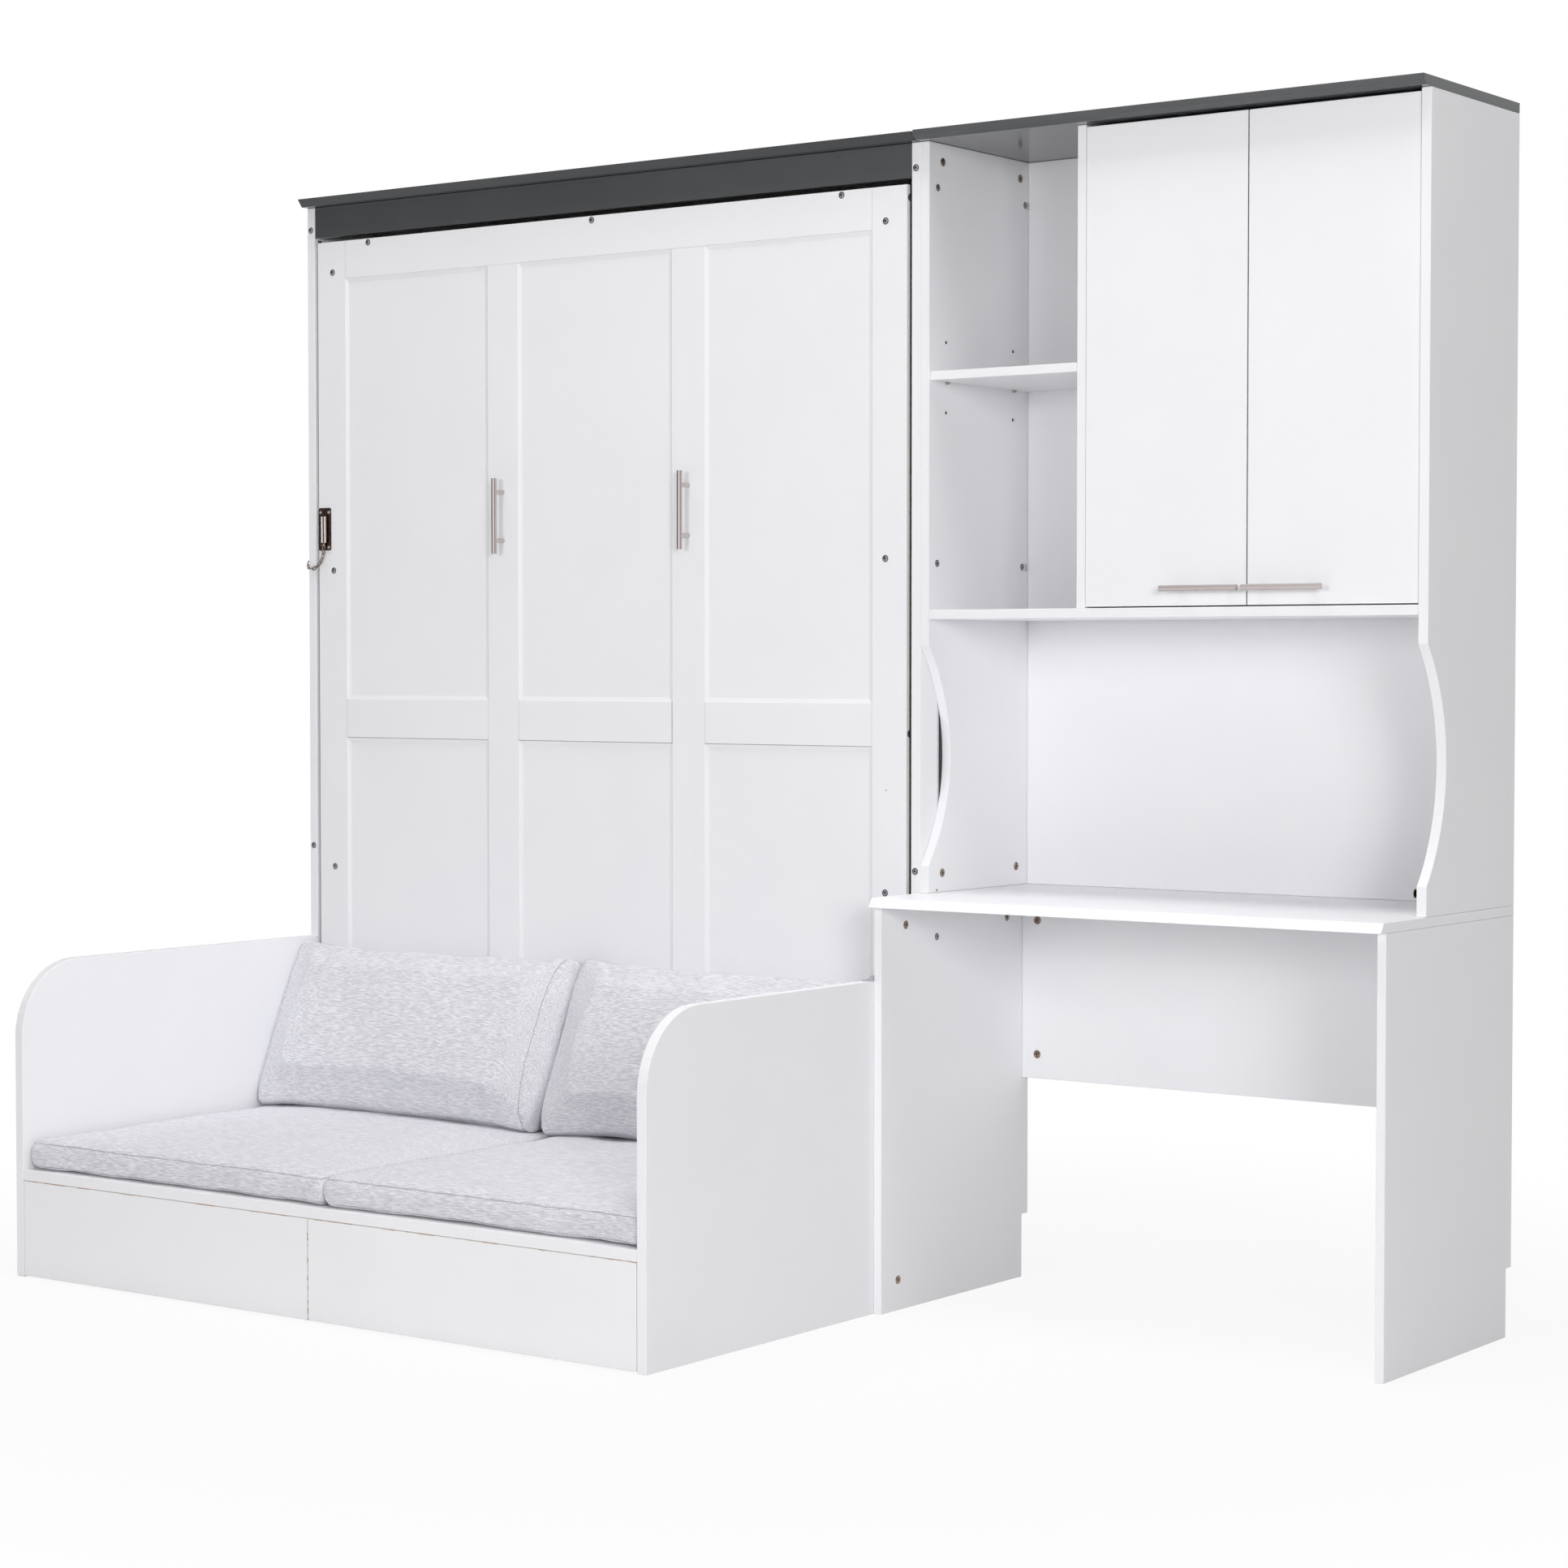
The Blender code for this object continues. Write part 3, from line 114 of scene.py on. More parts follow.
def new_material(name):
    """A material with an empty Principled surface: its tree and its shader."""
    made = bpy.data.materials.new(name)
    made.use_nodes = True
    return made, made.node_tree, made.node_tree.nodes["Principled BSDF"]


def spot_noise(tree, size, stretch=(1, 1, 1), detail=3.0):
    """Noise in object space with spots about `size` across, drawn out along an axis by `stretch`."""
    place = add_node(tree, "ShaderNodeTexCoord")
    scale = tuple(1 / (size * long) for long in stretch)
    mapping = add_node(tree, "ShaderNodeMapping", {"Scale": scale}, {"Vector": place.outputs["Object"]})
    links = {"Vector": mapping.outputs["Vector"]}
    return add_node(tree, "ShaderNodeTexNoise", {"Scale": 1.0, "Detail": detail}, links)


def remap(tree, source, low, high, start=0.3, end=0.7):
    """Turns noise between start and end into values between low and high."""
    values = {"From Min": start, "From Max": end, "To Min": low, "To Max": high}
    return add_node(tree, "ShaderNodeMapRange", values, {"Value": source}).outputs["Result"]


def bump(tree, shader, height, distance, strength=1.0, below=None):
    links = {"Height": height}
    if below:
        links["Normal"] = below
    node = add_node(tree, "ShaderNodeBump", {"Distance": distance, "Strength": strength}, links)
    tree.links.new(node.outputs["Normal"], shader.inputs["Normal"])
    return node.outputs["Normal"]


def mix_colours(tree, share, first, second):
    """A colour between two hex codes by a share."""
    colours = {MIX_FIRST: linear(first), MIX_SECOND: linear(second)}
    node = add_node(tree, "ShaderNodeMix", colours, {MIX_SHARE: share}, data_type="RGBA")
    return node.outputs[MIX_RESULT]


def over(tree, share, below, colour):
    """Lays one hex colour over another socket's colour by a share."""
    links = {MIX_SHARE: share, MIX_FIRST: below}
    node = add_node(tree, "ShaderNodeMix", {MIX_SECOND: linear(colour)}, links, data_type="RGBA")
    return node.outputs[MIX_RESULT]


def melamine(name, light, dark, roughness):
    """Particle board under pressed melamine foil: satin, its pearl grain of 0.4 mm drawn at 1.6 mm."""
    made, tree, shader = new_material(name)
    cloud = spot_noise(tree, 180 * MM, detail=2.0)
    tint = mix_colours(tree, remap(tree, cloud.outputs["Fac"], 0, 1), light, dark)
    tree.links.new(tint, shader.inputs["Base Color"])
    pearl = spot_noise(tree, 1.6 * MM, detail=1.0)
    rough = remap(tree, pearl.outputs["Fac"], roughness - 0.03, roughness + 0.04)
    tree.links.new(rough, shader.inputs["Roughness"])
    shader.inputs["IOR"].default_value = 1.50
    shader.inputs["Specular IOR Level"].default_value = 0.42
    bump(tree, shader, pearl.outputs["Fac"], 0.02 * MM)
    return made


def woven_melange(name, dark, light):
    """Cotton and polyester weave of grey and white slub yarns: matt and soft, in short streaks.

    The yarns are 0.8 mm thick and are drawn at 1.6 mm, so that the streaks along the weft show.
    """
    made, tree, shader = new_material(name)
    slub = spot_noise(tree, 1.6 * MM, (12.0, 1, 1), detail=3.0)
    warp = spot_noise(tree, 1.3 * MM, (1, 1, 1), detail=2.0)
    patch = spot_noise(tree, 60 * MM, (1.6, 1, 1), detail=2.0)
    streak = remap(tree, slub.outputs["Fac"], 0, 1, 0.40, 0.62)
    speck = remap(tree, warp.outputs["Fac"], 0, 1, 0.34, 0.66)
    share = add_node(tree, "ShaderNodeMath", {1: WEFT_SHARE}, {0: streak}, operation="MULTIPLY")
    links = {0: speck, 2: share.outputs["Value"]}
    both = add_node(tree, "ShaderNodeMath", {1: WARP_SHARE}, links, operation="MULTIPLY_ADD")
    cloth = mix_colours(tree, both.outputs["Value"], dark, light)
    worn = remap(tree, patch.outputs["Fac"], 0.0, 0.12)
    tree.links.new(over(tree, worn, cloth, dark), shader.inputs["Base Color"])
    shader.inputs["Roughness"].default_value = 0.92
    shader.inputs["Specular IOR Level"].default_value = 0.18
    shader.inputs["Sheen Weight"].default_value = 0.12
    shader.inputs["Sheen Roughness"].default_value = 0.55
    threads = bump(tree, shader, both.outputs["Value"], 0.35 * MM)
    bump(tree, shader, patch.outputs["Fac"], 2.4 * MM, 0.5, threads)
    return made


def brushed_metal(name, colour, roughness, stretch):
    """Satin steel bar, linished lengthwise: hairlines of 0.1 mm drawn at 0.6 mm, as long as the bar."""
    made, tree, shader = new_material(name)
    hair = spot_noise(tree, 0.6 * MM, stretch, detail=2.0)
    tint = mix_colours(tree, hair.outputs["Fac"], colour, HAIRLINE_COLOUR)
    tree.links.new(tint, shader.inputs["Base Color"])
    shader.inputs["Metallic"].default_value = 1.0
    rough = remap(tree, hair.outputs["Fac"], roughness - 0.03, roughness + 0.05)
    tree.links.new(rough, shader.inputs["Roughness"])
    bump(tree, shader, hair.outputs["Fac"], 0.002 * MM)
    return made


def plated_metal(name, light, dark, roughness, spot):
    """Steel with a plated skin: bright, with soft cloudy patches from the bath."""
    made, tree, shader = new_material(name)
    cloud = spot_noise(tree, spot, detail=3.0)
    tint = mix_colours(tree, remap(tree, cloud.outputs["Fac"], 0, 1), light, dark)
    tree.links.new(tint, shader.inputs["Base Color"])
    shader.inputs["Metallic"].default_value = 1.0
    rough = remap(tree, cloud.outputs["Fac"], roughness - 0.05, roughness + 0.08)
    tree.links.new(rough, shader.inputs["Roughness"])
    bump(tree, shader, cloud.outputs["Fac"], 0.02 * MM)
    return made


# Also makes the dark materials that paint the shade in holes, slots and countersinks
def powder_coat_and_painted_shade(name, colour, roughness):
    """Powder coat, or moulded plastic: even colour over a fine orange peel of 1 mm drawn at 1.5 mm."""
    made, tree, shader = new_material(name)
    peel = spot_noise(tree, 1.5 * MM, detail=2.0)
    shader.inputs["Base Color"].default_value = linear(colour)
    rough = remap(tree, peel.outputs["Fac"], roughness - 0.05, roughness + 0.07)
    tree.links.new(rough, shader.inputs["Roughness"])
    shader.inputs["IOR"].default_value = 1.50
    bump(tree, shader, peel.outputs["Fac"], 0.04 * MM)
    return made


def birch_plywood(name):
    """Rotary-cut birch veneer under thin lacquer: pale, with soft figure 6 mm wide and fine pores."""
    made, tree, shader = new_material(name)
    figure = spot_noise(tree, 6 * MM, (14, 1, 1), detail=5.0)
    pores = spot_noise(tree, 1.2 * MM, (12, 1, 1), detail=2.0)
    tint = mix_colours(tree, remap(tree, figure.outputs["Fac"], 0, 1), "#D9BE94", "#C6A273")
    dots = remap(tree, pores.outputs["Fac"], 0.0, 0.35, 0.58, 0.75)
    tree.links.new(over(tree, dots, tint, "#9C774B"), shader.inputs["Base Color"])
    rough = remap(tree, figure.outputs["Fac"], 0.45, 0.60)
    tree.links.new(rough, shader.inputs["Roughness"])
    bump(tree, shader, pores.outputs["Fac"], 0.06 * MM)
    return made


# Its grey and dark copies below also serve as painted shade in gaps and along arrises
def fibreboard_and_painted_shade(name, cover, bare, start):
    """Cut edge of fibreboard where the foil is chipped: tan fibres that show in broken stretches."""
    made, tree, shader = new_material(name)
    chips = spot_noise(tree, 9 * MM, (5, 1, 1), detail=6.0)
    tint = mix_colours(tree, remap(tree, chips.outputs["Fac"], 0, 1, start, start + 0.08), cover, bare)
    tree.links.new(tint, shader.inputs["Base Color"])
    rough = remap(tree, chips.outputs["Fac"], 0.5, 0.8)
    tree.links.new(rough, shader.inputs["Roughness"])
    bump(tree, shader, chips.outputs["Fac"], 0.1 * MM)
    return made


ACROSS, UPRIGHT = (400, 1, 1), (1, 1, 400)
FINISHES = {
    "white_board": melamine("white_melamine_foil", "#F8F8FA", "#F6F6F9", 0.36),
    "grey_board": melamine("slate_melamine_foil", "#555759", "#515355", 0.12),
    "birch_ply": birch_plywood("birch_plywood"),
    "fabric": woven_melange("grey_melange_weave", "#C9C9D0", "#F5F4F8"),
    "brushed_steel": brushed_metal("linished_steel_upright", "#E4DAD9", 0.12, UPRIGHT),
    "nickel": plated_metal("nickel_plate", "#C9C2B8", "#A39A8E", 0.20, 9 * MM),
    "zinc_steel": plated_metal("zinc_plate", "#B7BABE", "#8B8E92", 0.34, 5 * MM),
    "black_steel": powder_coat_and_painted_shade("black_powder_coat", "#1D1E20", 0.42),
}
SEAM_THREAD = woven_melange("seam_thread", "#9C9CA6", "#C2C2CA")
# A darker copy of the slate foil, painting shade on the crown
CROWN_FOIL_PAINTED_SHADE = melamine("slate_foil_painted_crown_shade", "#3F4144", "#3B3D40", 0.14)
LINISHED_ACROSS = brushed_metal("linished_steel_across", "#DBD3D1", 0.13, ACROSS)
# Painted shade in sockets, slots, holes and the hutch's cut
PAINTED_HOLE_SHADE = powder_coat_and_painted_shade("painted_hole_shade", "#26272A", 0.55)
# Painted shade of the countersinks round the bolt heads
SINK_PAINTED_SHADE = powder_coat_and_painted_shade("countersink_painted_shade", "#45474B", 0.55)
# A darker copy of nickel for the guard plate: painted dark reflection
NICKEL_PAINTED_DARK_REFLECTION = plated_metal("nickel_plate_painted_dark_reflection", "#6A5954", "#43352F", 0.30, 7 * MM)
# A lighter copy of nickel for the track's strips and screws: painted highlight
NICKEL_PAINTED_HIGHLIGHT = plated_metal("nickel_track_painted_highlight", "#F2ECEA", "#DDD3D0", 0.24, 5 * MM)
CHAIN_NICKEL = plated_metal("chain_nickel", "#B3A69C", "#6E5F55", 0.22, 4 * MM)
PALE_ZINC = plated_metal("pale_zinc_plate", "#D3D5D8", "#BFC2C6", 0.42, 6 * MM)
TAN_EDGE = fibreboard_and_painted_shade("chipped_drawer_edge", "#EFEDEB", "#D3B192", 0.49)
BROWN_RING = fibreboard_and_painted_shade("bored_fibreboard", "#A78A68", "#8A6C4C", 0.45)
# Grey of the foil's seams, also used as painted shadow on the recesses' arrises and in the hutch's cut
SEAM_AND_SHADE_GREY = fibreboard_and_painted_shade("foil_seam_and_painted_shade", "#DCDDE0", "#CFD0D4", 0.40)
# A bare arris beside the bed panel, darkened to paint the gap's shade
SHADOW_EDGE = fibreboard_and_painted_shade("unfoiled_edge_and_painted_shade", "#8B8072", "#6F6456", 0.45)
# Painted shadow under the panel's middle rail
RAIL_SHADE = fibreboard_and_painted_shade("painted_rail_shadow", "#A6A8AD", "#96989D", 0.42)
JOINT_BROWN = fibreboard_and_painted_shade("open_joint", "#80655A", "#6B5247", 0.45)
# Painted shade on the doors' right edges, in the narrow gaps
SHADOW_GREY = fibreboard_and_painted_shade("shaded_door_edge", "#8E9094", "#7E8084", 0.45)
# Painted shade on the faces deep in the gaps beside the bed panel
PAINTED_GAP_SHADE = fibreboard_and_painted_shade("painted_gap_shade_strip", "#6B655F", "#5A524A", 0.45)

for entry in frame["record"]["subparts"]:
    nodes[entry["node"]].material_slots[0].material = FINISHES[entry["material_slot"]]
for name in ("door_handle_left", "door_handle_right"):
    nodes[name].material_slots[0].material = LINISHED_ACROSS
nodes["bed_crown"].material_slots[0].material = CROWN_FOIL_PAINTED_SHADE
nodes["guard_plate"].material_slots[0].material = NICKEL_PAINTED_DARK_REFLECTION
nodes["arm_joining_bracket"].material_slots[0].material = PALE_ZINC


# Mesh helpers

SHARP_ANGLE = math.radians(38)


def piece_from(name, builder, material, body, smooth=False):
    """Turns a bmesh into a piece that rides on a body and wears the given finish."""
    bmesh.ops.recalc_face_normals(builder, faces=builder.faces)
    mesh = bpy.data.meshes.new(name)
    builder.to_mesh(mesh)
    builder.free()
    made = bpy.data.objects.new(name, mesh)
    scene.collection.objects.link(made)
    made.data.materials.append(material)
    if smooth:
        made.data.shade_smooth()
        made.data.set_sharp_from_angle(angle=SHARP_ANGLE)
    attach(made, body)
    return made


def add_box(builder, low, high):
    size = Vector(high) - Vector(low)
    middle = (Vector(high) + Vector(low)) / 2
    place = Matrix.Translation(middle) @ Matrix.Diagonal((*size, 1.0))
    bmesh.ops.create_cube(builder, size=1.0, matrix=place)


def facing(place, direction):
    """The matrix that sets a piece made along +Z on a surface that faces `direction`."""
    return Matrix.Translation(place) @ Vector(direction).to_track_quat("Z", "Y").to_matrix().to_4x4()


SIDES = 24
CROSS_WAIST = 0.42


def ring_point(radius, height, shape, index):
    """A point of a turned ring: round, six-sided, or a cross with four arms."""
    angle = 2 * math.pi * index / SIDES
    if shape == "hex":
        radius *= math.cos(math.pi / 6) / math.cos(angle % (math.pi / 3) - math.pi / 6)
    if shape == "cross" and index % 6 in (2, 3, 4):
        radius *= CROSS_WAIST
    return (radius * math.cos(angle), radius * math.sin(angle), height)


def add_turned(builder, profile, place):
    """Adds a closed turned solid from rings of (radius, height, shape), bottom first, at a matrix."""
    loops = [
        [builder.verts.new(place @ Vector(ring_point(*ring, index))) for index in range(SIDES)]
        for ring in profile
    ]
    for lower, upper in zip(loops, loops[1:]):
        for index in range(SIDES):
            after = (index + 1) % SIDES
            builder.faces.new((lower[index], lower[after], upper[after], upper[index]))
    builder.faces.new(list(reversed(loops[0])))
    builder.faces.new(loops[-1])


def turned_set(name, profile, places, material, body):
    builder = bmesh.new()
    for place in places:
        add_turned(builder, profile, place)
    return piece_from(name, builder, material, body, smooth=True)


def tube_set(name, routes, radius, material, body, closed=False, sides=8):
    """Round wires along lists of points."""
    builder = bmesh.new()
    for route in routes:
        points = [Vector(point) for point in route]
        count = len(points)
        loops = []
        side = None
        for index, point in enumerate(points):
            before = points[index - 1] if closed or index else point
            after = points[(index + 1) % count] if closed or index < count - 1 else point
            ahead = (after - before).normalized()
            side = ahead.orthogonal() if side is None else side - ahead * side.dot(ahead)
            side.normalize()
            up = ahead.cross(side)
            loops.append(
                [
                    builder.verts.new(point + (side * math.cos(turn) + up * math.sin(turn)) * radius)
                    for turn in (2 * math.pi * step / sides for step in range(sides))
                ]
            )
        spans = list(zip(loops, loops[1:])) + ([(loops[-1], loops[0])] if closed else [])
        for lower, upper in spans:
            shift = 0
            if closed and upper is loops[0]:
                shift = min(range(sides), key=lambda step: (upper[step].co - lower[0].co).length)
            for step in range(sides):
                after = (step + 1) % sides
                ends = (upper[(after + shift) % sides], upper[(step + shift) % sides])
                builder.faces.new((lower[step], lower[after], *ends))
        if not closed:
            builder.faces.new(list(reversed(loops[0])))
            builder.faces.new(loops[-1])
    return piece_from(name, builder, material, body, smooth=True)


def smooth_route(points, steps):
    """Points along one smooth curve through the given ones."""
    points = [Vector(point) for point in points]
    ends = [2 * points[0] - points[1], *points, 2 * points[-1] - points[-2]]
    route = []
    for index in range(1, len(ends) - 2):
        before, start, end, after = ends[index - 1 : index + 3]
        for step in range(steps):
            share = step / steps
            route.append(
                0.5
                * (
                    2 * start
                    + (end - before) * share
                    + (2 * before - 5 * start + 4 * end - after) * share**2
                    + (3 * start - before - 3 * end + after) * share**3
                )
            )
    return [*route, points[-1]]


# Bolts, cams and pins

BOLT_RADIUS = 4.9 * MM
BOLT_HEAD = (
    (BOLT_RADIUS, 0, "round"),
    (BOLT_RADIUS, 0.6 * MM, "round"),
    (BOLT_RADIUS - 0.9 * MM, 1.1 * MM, "round"),
    (2.5 * MM, 1.15 * MM, "hex"),
    (2.3 * MM, 0.3 * MM, "hex"),
)
# A grey ring under each bolt head: painted shade of its countersink
BOLT_RING = (
    (BOLT_RADIUS + 1.6 * MM, 0, "round"),
    (BOLT_RADIUS + 1.6 * MM, 0.15 * MM, "round"),
)
# Dark floors of the bolts' sockets and the cams' slots: painted shade where no light reaches in
SOCKET_FLOOR = ((2.2 * MM, 0, "hex"), (2.2 * MM, 0.45 * MM, "hex"))
CAM_RADIUS = 6.6 * MM
CAM_HEAD = (
    (CAM_RADIUS, 0, "round"),
    (CAM_RADIUS, 0.55 * MM, "round"),
    (CAM_RADIUS - 0.9 * MM, 0.9 * MM, "round"),
    (3.6 * MM, 0.9 * MM, "cross"),
    (3.2 * MM, 0.35 * MM, "cross"),
)
CAM_RING = (
    (CAM_RADIUS + 1.3 * MM, 0, "round"),
    (CAM_RADIUS + 1.3 * MM, 0.15 * MM, "round"),
)
CAM_SLOT = ((3.1 * MM, 0, "cross"), (3.1 * MM, 0.5 * MM, "cross"))
# Shelf pin holes drawn as dark discs of painted shade
PIN_HOLE = ((3.0 * MM, 0, "round"), (3.0 * MM, 0.12 * MM, "round"))
PIN = (
    (2.4 * MM, 0, "round"),
    (2.4 * MM, 7 * MM, "round"),
    (1.9 * MM, 7.6 * MM, "round"),
)
DOWEL = ((2.3 * MM, 0, "round"), (2.3 * MM, 0.2 * MM, "round"))
BRACKET_SCREW = (
    (2.6 * MM, 0, "round"),
    (2.2 * MM, 1.0 * MM, "round"),
    (1.1 * MM, 1.1 * MM, "cross"),
    (1.0 * MM, 0.4 * MM, "cross"),
)
# A small hole drawn as a dark disc of painted shade
STILE_HOLE = ((1.2 * MM, 0, "round"), (1.2 * MM, 0.12 * MM, "round"))
# Half width, half height and thickness
FLAT_FIXING = (3 * MM, 7 * MM, 1.2 * MM)

FRONT, RIGHT, LEFT, UP = (0, -1, 0), (1, 0, 0), (-1, 0, 0), (0, 0, 1)

# Places on the bed panel and the cabinet's front edges
TOP_RAIL_BOLTS_X = (-1.0975, -0.5045, 0.0915)
TOP_RAIL_BOLTS_Z = 2.031
STILE_BOLTS_X = (-1.1975, 0.1900)
STILE_BOLTS_Z = (1.976, 1.361, 0.747)
PANEL_EDGE_BOLTS_Z = (2.016, 1.040)
SIDE_EDGE_BOLTS_X = (-1.2585, 0.2565)
SIDE_EDGE_BOLTS_Z = (2.067, 0.789)
STILE_HOLE_SPOT = (0.1918, face_y, 0.936)
BRACKET_SCREW_INSETS = (4.6 * MM, 12.6 * MM)

# Places on the hutch's sides, as y and z or as y alone
HUTCH_UPPER_CAMS_Y, HUTCH_UPPER_CAMS_Z = (0.273, 0.536), 2.080
HUTCH_LOWER_CAMS_Y, HUTCH_LOWER_CAMS_Z = (0.2745, 0.527), 0.7855
HUTCH_BOLTS = ((0.257, 2.032), (0.554, 2.032), (0.256, 1.351), (0.546, 1.351))
FLAT_FIXING_SPOTS = ((0.5655, 2.031), (0.558, 1.350))
SHELF_PINS_Y = (0.284, 0.5115)
SPARE_HOLES_Z = (1.754, 1.626)
DOWEL_SPOT = (0.256, 0.7545)

# Places on the desk: y and z on its legs, x and z on the panel between them
LEG_CAMS = ((0.159, 0.697), (0.499, 0.691), (0.135, 0.0555))
LEG_BOLT = (0.260, 0.669)
MODESTY_CAMS_X, MODESTY_CAMS_Z = (0.3175, 1.2235), (0.683, 0.428)


def add_bolts(name, body, spots):
    """Zinc bolt heads with a hexagon socket, each in a countersink; socket floor and ring are painted
    shade.
    """
    places = [facing(*spot) for spot in spots]
    turned_set(f"{name}_heads", BOLT_HEAD, places, FINISHES["zinc_steel"], body)
    turned_set(f"{name}_sinks", BOLT_RING, places, SINK_PAINTED_SHADE, body)
    turned_set(f"{name}_sockets", SOCKET_FLOOR, places, PAINTED_HOLE_SHADE, body)


def add_cams(name, spots):
    """Zinc cam locks with a cross slot, each in a bore through the foil; the slot's floor is painted
    shade.
    """
    places = [facing(*spot) for spot in spots]
    turned_set(f"{name}_cams", CAM_HEAD, places, CHAIN_NICKEL, "cabinet")
    turned_set(f"{name}_bores", CAM_RING, places, BROWN_RING, "cabinet")
    turned_set(f"{name}_slots", CAM_SLOT, places, PAINTED_HOLE_SHADE, "cabinet")


def bed_bolts():
    rail_bolts = [((x, face_y, TOP_RAIL_BOLTS_Z), FRONT) for x in TOP_RAIL_BOLTS_X]
    stile_bolts = [((x, face_y, z), FRONT) for x in STILE_BOLTS_X for z in STILE_BOLTS_Z]
    edge_y = face_y + PANEL_BOARD / 2
    edge_bolts = [((panel_high.x, edge_y, z), RIGHT) for z in PANEL_EDGE_BOLTS_Z]
    add_bolts("bed_panel", "bed", rail_bolts + stile_bolts + edge_bolts)
    sides = [((x, face_y, z), FRONT) for x in SIDE_EDGE_BOLTS_X for z in SIDE_EDGE_BOLTS_Z]
    add_bolts("cabinet_edge", "cabinet", sides)


def hutch_fittings():
    inner = [(hutch_inner_x, RIGHT), (hutch_far_x, LEFT)]
    upper_cams = [((hutch_inner_x, y, HUTCH_UPPER_CAMS_Z), RIGHT) for y in HUTCH_UPPER_CAMS_Y]
    lower_cams = [((x, y, HUTCH_LOWER_CAMS_Z), way) for x, way in inner for y in HUTCH_LOWER_CAMS_Y]
    add_cams("hutch", upper_cams + lower_cams)
    add_bolts("hutch", "cabinet", [((hutch_inner_x, *spot), RIGHT) for spot in HUTCH_BOLTS])
    holes = [((hutch_inner_x, y, z), RIGHT) for y in SHELF_PINS_Y for z in SPARE_HOLES_Z]
    places = [facing(*hole) for hole in holes]
    turned_set("shelf_pin_holes", PIN_HOLE, places, PAINTED_HOLE_SHADE, "cabinet")
    divider_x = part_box("hutch_divider")[0].x
    pin_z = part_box("hutch_shelf")[0].z - 2.6 * MM
    ends = [(hutch_inner_x, RIGHT), (divider_x, LEFT)]
    pins = [facing((x, y, pin_z), way) for x, way in ends for y in SHELF_PINS_Y]
    turned_set("shelf_pins", PIN, pins, FINISHES["nickel"], "cabinet")
    dowel = facing((hutch_inner_x, *DOWEL_SPOT), RIGHT)
    turned_set("hutch_dowel", DOWEL, [dowel], BROWN_RING, "cabinet")


def hutch_fixings():
    """Flat zinc fixings beside the hutch's rear bolts."""
    half_width, half_height, thick = FLAT_FIXING
    builder = bmesh.new()
    for y, z in FLAT_FIXING_SPOTS:
        low = (hutch_inner_x - HAIR, y - half_width, z - half_height)
        high = (hutch_inner_x + thick, y + half_width, z + half_height)
        add_box(builder, low, high)
    bmesh.ops.bevel(builder, geom=builder.edges, offset=0.5 * MM, segments=1, affect="EDGES")
    piece_from("hutch_fixings", builder, PALE_ZINC, "cabinet")


def bracket_screws():
    """The two screws through the angle that joins the sofa's arm to the desk's leg."""
    low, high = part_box("arm_joining_bracket")
    spots = [(low.x + inset, (low.y + high.y) / 2, low.z + 2 * MM) for inset in BRACKET_SCREW_INSETS]
    places = [facing(spot, UP) for spot in spots]
    turned_set("bracket_screws", BRACKET_SCREW, places, FINISHES["zinc_steel"], "cabinet")


def stile_hole():
    """A bored hole in the panel's right stile, drawn as a dark disc of painted shade."""
    place = facing(STILE_HOLE_SPOT, FRONT)
    turned_set("stile_hole", STILE_HOLE, [place], PAINTED_HOLE_SHADE, "bed")


def desk_fittings():
    legs = [(leg_inner_x, RIGHT), (leg_far_x, LEFT)]
    cams = [((x, *spot), way) for x, way in legs for spot in LEG_CAMS]
    cams += [((x, modesty_y, z), FRONT) for x in MODESTY_CAMS_X for z in MODESTY_CAMS_Z]
    add_cams("desk", cams)
    add_bolts("desk_leg", "cabinet", [((x, *LEG_BOLT), way) for x, way in legs])


bed_bolts()
hutch_fittings()
hutch_fixings()
bracket_screws()
stile_hole()
desk_fittings()


# Seams and edges of the boards, and painted shade in the gaps and along arrises

SEAM_AND_SHADOW_WIDTH = 0.9 * MM
JOINT_AND_SHADOW_WIDTH = 1.3 * MM
SEAM_AND_SHADOW_PROUD = 0.06 * MM
OUTER_STILE = 77.5 * MM
INNER_STILE = 80 * MM
FIELD = (panel_high.x - panel_low.x - 2 * OUTER_STILE - 2 * INNER_STILE) / 3
RECESS_TOP = 1.961
MID_RAIL = (1.015, 1.095)
LOW_RECESS = 0.174
# The gaps beside the panel show from the sofa's arms up to the fascia
GAP_FOOT = 0.60
FASCIA_REACH = 66 * MM
# Where the cabinet's side stops short of the hutch's curved cut, and how high that shows: the place of
# the painted shadow
SIDE_GAP_Y = (0.2843, 0.2885, 0.3030)
SIDE_GAP_Z = (0.900, 1.105)


